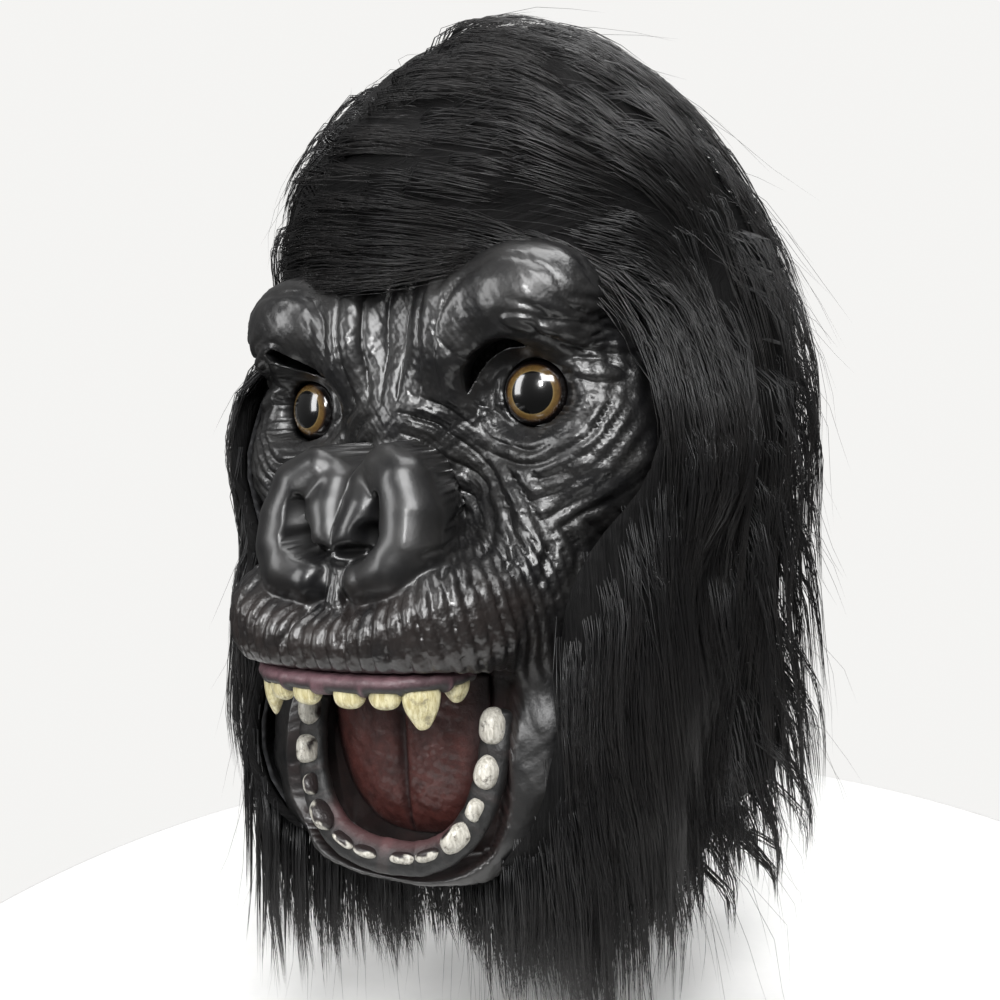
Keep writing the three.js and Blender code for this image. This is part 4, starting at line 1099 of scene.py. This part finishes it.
gum_ridge(
    "upper_gum", upper_arch, UPPER_POINTING, 0.98, 10.4, 6.4, UPPER_TEETH, GUM, "gum", 0.06, 0.26
)
gum_ridge(
    "lower_gum", lower_arch, LOWER_POINTING, 1.14, 12.4, 7.2, LOWER_TEETH, DARK_GUM, "lower_gum",
    0.05, 0.04,
)
for arch, rows, pointing, finish, slot in [
    (upper_arch, UPPER_TEETH, UPPER_POINTING, IVORY, "tooth"),
    (lower_arch, LOWER_TEETH, LOWER_POINTING, WHITE_TOOTH, "lower_tooth"),
]:
    for row, (name, at, *size) in enumerate(rows):
        for side in (-1, 1):
            tooth_crown(name, arch, at, side, pointing, size, finish, slot, 31 + 2 * row + side)
tongue_body()


# ---- hood and fur ----


def hood_rays():
    """Rays of the hood's sweep: from straight up at the crown, turning level, then down."""
    share = np.linspace(0, 1, CROWN_ROWS + 1)
    tilt = np.radians(np.append(90 * (1 - share) ** CROWN_POWER, np.zeros(SIDE_ROWS)))
    below = np.linspace(CROWN_RAYS_DROP, HOOD_DROP, SIDE_ROWS + 1)[1:]
    drop = np.append(np.full(CROWN_ROWS + 1, CROWN_RAYS_DROP), below)
    turn = np.linspace(-math.pi, math.pi, HOOD_COLUMNS, endpoint=False)
    start = np.zeros((len(tilt), HOOD_COLUMNS, 3))
    start[..., 2] = -drop[:, None]
    lean = tilt[:, None]
    along = np.stack(np.broadcast_arrays(
        np.sin(turn) * np.cos(lean),
        -np.cos(turn) * np.cos(lean),
        np.sin(lean),
    ), -1)
    return start, along, drop, turn


def hood_reach():
    """Length of the hood's rays: the longest among four neighbours a side, then evened out."""
    t = meet(hood_gap, start, along, HOOD_REACH)
    evened = np.max([np.roll(t, step, axis=1) for step in range(-4, 5)], axis=0)
    for _ in range(3):
        evened = (evened + np.roll(evened, 1, 1) + np.roll(evened, -1, 1)) / 3
        padded = np.pad(evened, ((1, 1), (0, 0)), mode="edge")
        evened = (padded[:-2] + padded[1:-1] + padded[2:]) / 3
    return evened


OPENING = np.array(OPENING_OUTLINE) * (FACE_HALF_WIDTH, FACE_HEIGHT) - (0, NOSE_DROP)


def from_opening(p):
    """Distance in the front view to the edge of the face opening."""
    place = np.stack([np.abs(p[..., 0]), p[..., 2]], -1)
    nearest = np.full(place.shape[:-1], np.inf)
    for a, b in zip(OPENING[:-1], OPENING[1:]):
        way = b - a
        share = np.clip((place - a) @ way / (way @ way), 0, 1)
        off = np.linalg.norm(place - a - share[..., None] * way, axis=-1)
        nearest = np.minimum(nearest, off)
    return nearest


def in_opening(p):
    """True where the front view lies inside the face opening, by the outline's width there,
    with the steps of its upper edge left out."""
    width, level = np.delete(OPENING, [1, 3], axis=0)[::-1].T
    width[-1] = width[-2]
    wide = np.interp(p[:, 2], level, width, left=0, right=0)
    return (np.abs(p[:, 0]) < wide) & (p[:, 2] > level[0]) & (p[:, 2] < level[-1])


def pile():
    """Depth of the fur: thin beside the face, thick at the sides, and below the nose's level
    the part that hangs straight down from the widest place."""
    base = start + along * reach[..., None]
    y, z = base[..., 1], base[..., 2]
    level = np.searchsorted(drop, NOSE_DROP)
    widest = np.where(drop[:, None] > NOSE_DROP, reach[level][None, :], reach)
    beside = smoothstep(np.abs(turn), math.radians(55), math.radians(95))[None, :]
    hang = np.maximum(widest - reach, 0) * beside
    taper = lerp(1.0, 0.6, smoothstep(-z, 310, HOOD_DROP))
    chin = np.maximum(beside, smoothstep(z, -HOOD_DROP + 60, -NOSE_DROP))
    full = lerp(PILE_CROWN, PILE_SIDE, smoothstep(-z, 0, NOSE_DROP)) + hang
    full = full * taper * lerp(0.4, 1.0, chin)
    clear = np.maximum(smoothstep(from_opening(base), 0, 42), smoothstep(y, -48, 0))
    return lerp(PILE_EDGE, full, clear)


def opening_plug():
    """Cutter through the front of the hood: the opening's outline, rounded by a curve through
    each four corners that are neighbours."""
    loop = np.concatenate([OPENING, (OPENING * (-1, 1))[-2:0:-1]])
    before, after, later = np.roll(loop, 1, 0), np.roll(loop, -1, 0), np.roll(loop, -2, 0)
    t = np.linspace(0, 1, 5)[:-1][None, :, None]
    curve = 0.5 * (
        2 * loop[:, None]
        + (after - before)[:, None] * t
        + (2 * before - 5 * loop + 4 * after - later)[:, None] * t**2
        + (3 * loop - before - 3 * after + later)[:, None] * t**3
    )
    flat = curve.reshape(-1, 2)
    outline = np.stack([flat[:, 0], np.full(len(flat), -11.0), flat[:, 1]], -1)
    return prism(outline, np.zeros(3), np.array([0, -330.0, 0]), "plug")


def hang_lie(p):
    """Across the fall of the hair, and along it: round and down at the sides, along Y and
    away from the parting on the crown."""
    crown = smoothstep(p[:, 2], -120, -50)[:, None]
    beside = np.stack([np.arctan2(p[:, 0], -p[:, 1]) * 0.11, p[:, 2] * MM], -1)
    above = np.stack([p[:, 1] * MM, np.abs(p[:, 0] - PARTING) * MM], -1)
    return lerp(beside, above, crown)


def set_lie(piece, name):
    """A UV map that holds the lie of the hair."""
    mesh = piece.data
    co = np.empty(len(mesh.vertices) * 3, np.float32)
    mesh.vertices.foreach_get("co", co)
    corner = np.empty(len(mesh.loops), np.int32)
    mesh.loops.foreach_get("vertex_index", corner)
    uv = hang_lie(co.reshape(-1, 3) / MM)[corner]
    mesh.uv_layers.new(name=name).data.foreach_set("uv", uv.astype(np.float32).ravel())


start, along, drop, turn = hood_rays()
reach = hood_reach()
depth = pile()
base = start + along * reach[..., None]


def hood_shell(name, low, high, slot, finish, stands_for, uv_name, every=1, rows_off=0):
    """Closed wall over the hood between two pushes, open at the hem and cut for the face."""
    rows = slice(0, len(drop) - rows_off, every)
    inner = (start + along * (reach + low)[..., None])[rows, ::every]
    outer = (start + along * (reach + high)[..., None])[rows, ::every]
    points, faces = wall(outer[1:], inner[1:], 1, closed=True)
    columns = outer.shape[1]
    first, top = (outer.shape[0] - 1) * columns, len(points)
    rim = (faces < columns) | ((faces >= first) & (faces < first + columns))
    points = np.concatenate([points, [outer[0].mean(0)], [inner[0].mean(0)]])
    caps = [fan(0, columns, top), fan(first, columns, top + 1)[:, ::-1]]
    faces = np.concatenate([faces[~rim.all(1)], *caps])
    piece = put(name, points, outwards(points, faces), slot, finish, stands_for)
    cut(piece, [opening_plug()])
    set_lie(piece, uv_name)


hem = smoothstep(drop, HOOD_DROP - 44, HOOD_DROP - 16)[:, None]
furrows = 0.1 * ripple(base.reshape(-1, 3) * (1, 1, 0.3), 22, 41).reshape(reach.shape)
under_depth = depth * (UNDER_SHARE + furrows) * (1 - 0.8 * hem)
hood_shell("hood_lining", 0.0, 1.6, "cloth", CLOTH, ["hood_backing"], "weave", 2)
hood_shell(
    "fur_undercoat", PILE_START, UNDER_START + under_depth, "fur", UNDERCOAT,
    ["fur_crown", "fur_back", "fur_side_left", "fur_side_right", "fur_chin"], "lie", 1, 3,
)


def parting_at(p):
    """Where the parting lies: a little right of the middle on top, at the temple in front."""
    front = smoothstep(-p[:, 1], 10, 60) * smoothstep(-p[:, 2], 25, 85)
    return lerp(PARTING, -84.0, front)


def lie_of_hair(p, swirl):
    """Which way the hair is combed: away from the parting on the crown and over the forehead,
    down everywhere else, with a slow waver."""
    away = np.tanh((p[:, 0] - parting_at(p)) / 12)
    crown = smoothstep(p[:, 2], -150, -55)
    fringe = smoothstep(-p[:, 1], 25, 70) * smoothstep(p[:, 2], -142, -112)
    combed = np.maximum(crown, fringe)
    way = np.stack([away * combed, -0.12 * fringe, -(1 - 0.78 * combed)], -1)
    waver = np.stack([ripple(p, 60, swirl + i) for i in range(3)], -1) * (1, 1, 0.4)
    return unit(way + 0.16 * waver)


def hood_cell(p):
    """Row and column of the hood's net at a place, and the place's distance from the sweep."""
    rise = p[:, 2] + CROWN_RAYS_DROP
    level = np.hypot(p[:, 0], p[:, 1])
    tilt = np.degrees(np.arctan2(np.maximum(rise, 0), np.maximum(level, 1e-6)))
    crown = (1 - (tilt / 90) ** (1 / CROWN_POWER)) * CROWN_ROWS
    side = CROWN_ROWS - rise * SIDE_ROWS / (HOOD_DROP - CROWN_RAYS_DROP)
    row = np.clip(np.where(rise > 0, crown, side), 0, CROWN_ROWS + SIDE_ROWS - 0.001)
    column = (np.arctan2(p[:, 0], -p[:, 1]) + math.pi) / (2 * math.pi) * HOOD_COLUMNS
    return row, column, np.where(rise > 0, np.hypot(level, rise), level)


def net_value(net, row, column):
    """A net's value between its corners, in step round the hood."""
    r = row.astype(int)
    c = np.floor(column).astype(int)
    fr, fc = row - r, column - c
    c, d = c % HOOD_COLUMNS, (c + 1) % HOOD_COLUMNS
    return lerp(lerp(net[r, c], net[r, d], fc), lerp(net[r + 1, c], net[r + 1, d], fc), fr)


def height_over(p, layer):
    """Height over a layer of the fur: 0 is the undercoat's outside, 1 the full pile."""
    row, column, far = hood_cell(p)
    low = net_value(reach + UNDER_START + under_depth, row, column)
    high = net_value(reach + PILE_START + depth, row, column)
    return far - lerp(low, high, layer)


def slope_of(p, layer):
    """Height over a layer, and the unit normal from its differences over 3 mm."""
    height = height_over(p, layer)
    steps = [height_over(p + 3 * axis, layer) - height for axis in np.eye(3)]
    return height, unit(np.stack(steps, -1))


def clear_of_face(p):
    """Moves hair that would cross the face back to the edge of the opening: up where it lies
    just under the upper edge, sideways further down."""
    across = np.abs(p[:, 0])
    front = p[:, 1] < -5
    outermost, corner = OPENING_TOP[-1]
    top = np.interp(across, *OPENING_TOP.T) - OVERHANG
    under_top = front & (across < outermost) & (p[:, 2] < top) & (p[:, 2] > top - 16)
    p[:, 2] = np.where(under_top, top, p[:, 2])
    wide = np.interp(p[:, 2], OPENING_SIDE[:, 1], OPENING_SIDE[:, 0], left=0) + 1.5
    beside = front & (p[:, 2] < corner) & (across < wide)
    p[:, 0] = np.where(beside, np.sign(p[:, 0]) * wide, p[:, 0])
    return p


def comb(roots, lengths, layers, swirl):
    """Guides that start in the undercoat and follow the lie at their own layer of the pile:
    each step goes along the surface of that layer and is then put back on it."""
    p = roots.copy()
    path = [p.copy()]
    for i in range(COMB_STEPS):
        _, normal = slope_of(p, layers)
        way = lie_of_hair(p, swirl)
        held = smoothstep(p[:, 2], -245, -200)[:, None]
        way = unit(way - held * normal * (normal * way).sum(1)[:, None])
        p = clear_of_face(p + way * (lengths / COMB_STEPS)[:, None])
        gap, normal = slope_of(p, layers)
        shift = np.clip(gap, -12, 12) * smoothstep((i + 1) / COMB_STEPS, -0.1, 0.3)
        shift = np.minimum(shift, 0) + np.maximum(shift, 0) * held[:, 0]
        p = p - normal * shift[:, None] * 0.85
        path.append(p.copy())
    return np.stack(path, 1)


def one_strand():
    """Faces of a strand: a three-sided tube with a pointed tip and a closed root."""
    each = 3 * (STRAND_POINTS - 1) + 1
    last = each - 4
    k = np.arange(3)
    tip = np.stack([last + k, last + (k + 1) % 3, np.full(3, each - 1)], -1)
    return each, np.concatenate([net_faces(STRAND_POINTS - 1, 3, 0, True), tip, [[2, 1, 0]]])


def strands(name, guides, width, spread, per_guide, seed, gather):
    """Hair around guides: strands start apart and draw together towards the tip, each a
    three-sided taper of 22 triangles, in pieces under the triangle limit."""
    dice = np.random.default_rng(seed)
    pick = np.linspace(0, guides.shape[1] - 1, STRAND_POINTS).round().astype(int)
    paths = np.repeat(guides[:, pick], per_guide, axis=0)
    count = len(paths)
    share = np.linspace(0, 1, STRAND_POINTS)
    short = dice.uniform(0.7, 1.0, count)
    at = short[:, None] * share[None, :] * (STRAND_POINTS - 1)
    low = np.minimum(at.astype(int), STRAND_POINTS - 2)
    row = np.arange(count)[:, None]
    paths = lerp(paths[row, low], paths[row, low + 1], (at - low)[..., None])
    ahead = unit(paths[:, -1] - paths[:, 0])
    _, normal = slope_of(paths[:, 1], np.zeros(count))
    beside = unit(np.cross(ahead, normal))
    out = unit(np.cross(beside, ahead))
    out = out * np.sign((out * normal).sum(1))[:, None]
    far = spread * np.sqrt(dice.uniform(0, 1, count))
    angle = dice.uniform(0, math.pi, count)
    offset = beside * (far * np.cos(angle))[:, None] + out * (far * 0.35 * np.sin(angle))[:, None]
    drawn = np.repeat(dice.uniform(*gather, len(guides)), per_guide)[:, None]
    closing = 1 - drawn * share**1.25
    wave = dice.uniform(0.2, 2.4, (count, 1)) * np.sin(
        share[None, :] * dice.uniform(2, 6, (count, 1)) + dice.uniform(0, 6.28, (count, 1))
    ) * share
    paths = paths + offset[:, None] * closing[..., None] + beside[:, None] * wave[..., None]
    paths = np.clip(paths, *FUR_BOX)
    heading = unit(np.gradient(paths, axis=1))
    side_way = unit(np.cross(heading, out[:, None]))
    up_way = np.cross(side_way, heading)
    taper = 1 - 0.72 * share[None, :-1] ** 1.5
    thick = width * dice.uniform(0.7, 1.2, (count, 1)) * taper
    corner = np.radians([90, 210, 330])
    rings = (
        paths[:, :-1, None]
        + (thick[..., None] * np.cos(corner))[..., None] * side_way[:, :-1, None]
        + (thick[..., None] * np.sin(corner))[..., None] * up_way[:, :-1, None]
    )
    each, faces = one_strand()
    points = np.concatenate([rings.reshape(count, -1, 3), paths[:, -1:]], 1)
    faces = outwards(points[0] - points[0].mean(0), faces)
    along_share = np.append(np.repeat(share[:-1], 3), 1.0)
    for i, first in enumerate(range(0, count, STRAND_LIMIT)):
        part = points[first : first + STRAND_LIMIT]
        every = faces[None] + (np.arange(len(part)) * each)[:, None, None]
        label = name if count <= STRAND_LIMIT else f"{name}_{i + 1}"
        values = {"share": np.tile(along_share, len(part))}
        put(label, part.reshape(-1, 3), every.reshape(-1, 3), "fur", HAIR, (), values)


def turn_of(p):
    """How far round from the face a place lies, in degrees either way."""
    return np.abs(np.degrees(np.arctan2(p[:, 0], -p[:, 1])))


def scatter(count, seed, keep=None):
    """Roots spread over the hood outside the face opening, closer at the parting and beside
    the cheeks."""
    dice = np.random.default_rng(seed)
    place = start + along * (reach + 3)[..., None]
    step_down = np.linalg.norm(np.diff(place, axis=0), axis=-1)
    step_round = np.linalg.norm(np.roll(place, -1, 1) - place, axis=-1)[:-1]
    middle = place[:-1].reshape(-1, 3)
    x, y, z = middle.T
    bare = np.exp(-(((x - parting_at(middle)) / 24) ** 2)) * smoothstep(z, -130, -90)
    cheek = np.exp(-((from_opening(middle) / 24) ** 2)) * smoothstep(-y, -10, 10)
    cheek = cheek * smoothstep(-z, 170, 200)
    area = (step_down * step_round).ravel() * (1 + 1.4 * bare + 1.6 * cheek)
    pick = dice.choice(len(area), count * 4, p=area / area.sum())
    r, c = pick // HOOD_COLUMNS, pick % HOOD_COLUMNS
    d = (c + 1) % HOOD_COLUMNS
    fr, fc = dice.uniform(0, 1, (2, len(pick), 1))
    roots = lerp(lerp(place[r, c], place[r, d], fc), lerp(place[r + 1, c], place[r + 1, d], fc), fr)
    good = ~(in_opening(roots) & (roots[:, 1] < -10))
    if keep is not None:
        good &= keep(roots)
    return roots[good][:count]


def room_below(roots, dice):
    """Length of hair that still ends at the lowest level of the fur there."""
    lowest = np.interp(turn_of(roots), TIP_TURNS, TIP_LEVELS)
    return np.maximum(roots[:, 2] - lowest + dice.uniform(-14, 8, len(roots)), 24)


def fuller(roots):
    """How much further the hair stands off beside the face than elsewhere."""
    turned = turn_of(roots)
    beside = smoothstep(turned, 46, 62) * fall(turned, 75, 95)
    level = smoothstep(-roots[:, 2], 80, 120) * (1 - 0.7 * smoothstep(-roots[:, 2], 225, 295))
    return 1 + 0.6 * beside * level


def fur_coat():
    """The long fur: clumps of combed hair over the whole hood, longer towards the sides."""
    dice = np.random.default_rng(51)
    roots = scatter(1640, 52)
    down = -roots[:, 2]
    lengths = dice.uniform(62, 104, len(roots)) * lerp(0.8, 1.25, smoothstep(down, 60, 220))
    lengths = np.where(down > 150, np.minimum(lengths, room_below(roots, dice)), lengths)
    guides = comb(roots, lengths, dice.uniform(0.03, 1.0, len(roots)) * fuller(roots), 58)
    strands("fur_hair", guides, 0.23, 7.5, 14, 53, (0.1, 0.8))


def edge_locks():
    """Hair that hides the cut edge of the fur along both cheeks and over the brow."""
    dice = np.random.default_rng(61)
    roots = scatter(300, 62, lambda r: (from_opening(r) < 15) & (r[:, 1] < 5))
    lengths = np.minimum(dice.uniform(50, 95, len(roots)), room_below(roots, dice))
    guides = comb(roots, lengths, dice.uniform(0.4, 1.3, len(roots)) * fuller(roots), 68)
    strands("edge_hair", guides, 0.22, 5.5, 13, 63, (0.3, 0.85))


def long_locks():
    """Long pointed locks that hang below the hem beside the chin and at the sides."""
    dice = np.random.default_rng(91)
    roots = scatter(210, 92, lambda r: (r[:, 2] < -262) & (turn_of(r) > math.degrees(0.35)))
    lengths = room_below(roots, dice) + dice.uniform(-14, 6, len(roots))
    guides = comb(roots, lengths, dice.uniform(0.1, 1.1, len(roots)), 98)
    strands("long_locks", guides, 0.23, 5.0, 13, 93, (0.7, 0.95))


def chin_wisps():
    """Thin curling locks under the chin."""
    dice = np.random.default_rng(71)
    roots = scatter(40, 72, lambda r: (turn_of(r) < math.degrees(0.95)) & (r[:, 2] < -326))
    lengths = np.minimum(dice.uniform(38, 70, len(roots)), roots[:, 2] + 416)
    guides = comb(roots, lengths, dice.uniform(0.2, 0.9, len(roots)), 75)
    share = np.linspace(0, 1, COMB_STEPS + 1)[None, :]
    turns = share * dice.uniform(2, 6, (len(roots), 1)) + dice.uniform(0, 6.28, (len(roots), 1))
    curl = dice.uniform(2, 9, (len(roots), 1)) * np.sin(turns) * share
    guides = guides + curl[..., None] * (1, 0.4, 0)
    strands("chin_wisps", guides, 0.2, 3.2, 12, 76, (0.75, 0.9))


def flyaways():
    """Single hairs that stand off the fur at all sides."""
    dice = np.random.default_rng(81)
    roots = scatter(1100, 82)
    count = len(roots)
    lengths = np.minimum(dice.uniform(40, 105, count), roots[:, 2] + 424)
    guides = comb(roots, lengths, dice.uniform(0.8, 1.3, count), 85)
    _, normal = slope_of(guides[:, 0], np.ones(count))
    share = np.linspace(0, 1, COMB_STEPS + 1)[None, :, None]
    stray = dice.normal(size=(count, 1, 3)) * 7
    lifted = normal[:, None] * dice.uniform(0, 12, (count, 1, 1))
    strands("flyaway_hair", guides + (lifted + stray) * share**2, 0.12, 1.5, 1, 86, (0, 0.1))


fur_coat()
edge_locks()
long_locks()
chin_wisps()
flyaways()


# ---- floor, light and camera ----


def floor_disc():
    """A pale round table top with a soft edge, a little below the ends of the fur."""
    sectors = 128
    angle = np.linspace(0, 2 * math.pi, sectors, endpoint=False)
    radius = np.array([340.0, 344, 345])
    net = radius[:, None, None] * np.stack([np.cos(angle), np.sin(angle), 0 * angle], -1)
    net[..., 2] = np.array([-433.0, -434, -437])[:, None]
    middle = net[0].mean(0)[None]
    points = np.concatenate([net.reshape(-1, 3), middle])
    rim = net_faces(3, sectors, 0, True)
    faces = np.concatenate([rim, fan(0, sectors, 3 * sectors)])[:, ::-1]
    f = Finish("pale_floor")
    speckle = f.span(f.grain(f.place, 30, 4, 0.6), 0.3, 0.7)
    paint = f.done({
        "Base Color": f.mixed(speckle, (0.72, 0.72, 0.71), (0.78, 0.775, 0.765)),
        "Roughness": 0.5,
    })
    floor = put("floor", points, faces, None, paint)


def lamp(name, place, aim, size, power):
    light = bpy.data.lights.new(name, "AREA")
    light.shape = "RECTANGLE"
    light.size, light.size_y = size
    light.energy = power
    holder = bpy.data.objects.new(name, light)
    bpy.context.scene.collection.objects.link(holder)
    holder.location = place
    holder.rotation_mode = "QUATERNION"
    holder.rotation_quaternion = (Vector(aim) - Vector(place)).to_track_quat("-Z", "Y")


def pale_world():
    """White behind the object for the camera, and a dimmer room that brightens upwards for
    everything that the light reaches."""
    world = bpy.data.worlds.new("studio")
    bpy.context.scene.world = world
    t = Tree(world)
    where = t.node("ShaderNodeTexCoord")
    lift = t.node("ShaderNodeSeparateXYZ", None, {0: where}, out=2) * 0.5 + 0.5
    stops = [(0.35, (0.25, 0.25, 0.25)), (1.0, (1.0, 1.0, 1.0))]
    paint = t.node("ShaderNodeValToRGB", {"stops": stops}, {"Fac": lift})
    room = t.node("ShaderNodeBackground", None, {"Color": paint, "Strength": 0.27})
    white = {"Color": (0.93, 0.925, 0.91), "Strength": 0.98}
    seen = t.node("ShaderNodeBackground", None, white)
    to_camera = t.node("ShaderNodeLightPath")
    mix = t.node("ShaderNodeMixShader", None, {0: to_camera, 1: room, 2: seen})
    t.node("ShaderNodeOutputWorld", None, {"Surface": mix})


def photo_camera():
    """The camera at the photograph's angle: 29.5 degrees to the mask's left, 3 above, rolled."""
    azimuth, elevation, roll = (math.radians(v) for v in (29.5, 3.0, 2.98))
    aim, distance = Vector((0, -0.020, -0.200)), 0.447
    back = Vector((
        math.sin(azimuth) * math.cos(elevation),
        -math.cos(azimuth) * math.cos(elevation),
        math.sin(elevation),
    ))
    right = Vector((math.cos(azimuth), math.sin(azimuth), 0))
    up = back.cross(right)
    c, s = math.cos(roll), math.sin(roll)
    axes = Matrix((c * right - s * up, s * right + c * up, back)).transposed().to_4x4()
    camera = bpy.data.objects.new("camera", bpy.data.cameras.new("camera"))
    bpy.context.scene.collection.objects.link(camera)
    camera.data.lens = 35.57
    camera.data.sensor_width = 36
    camera.data.clip_start = 0.01
    camera.matrix_world = Matrix.Translation(aim + distance * back) @ axes
    bpy.context.scene.camera = camera


floor_disc()
pale_world()
bpy.context.scene.view_settings.view_transform = "Standard"
for row in LAMPS:
    lamp(*row)
photo_camera()
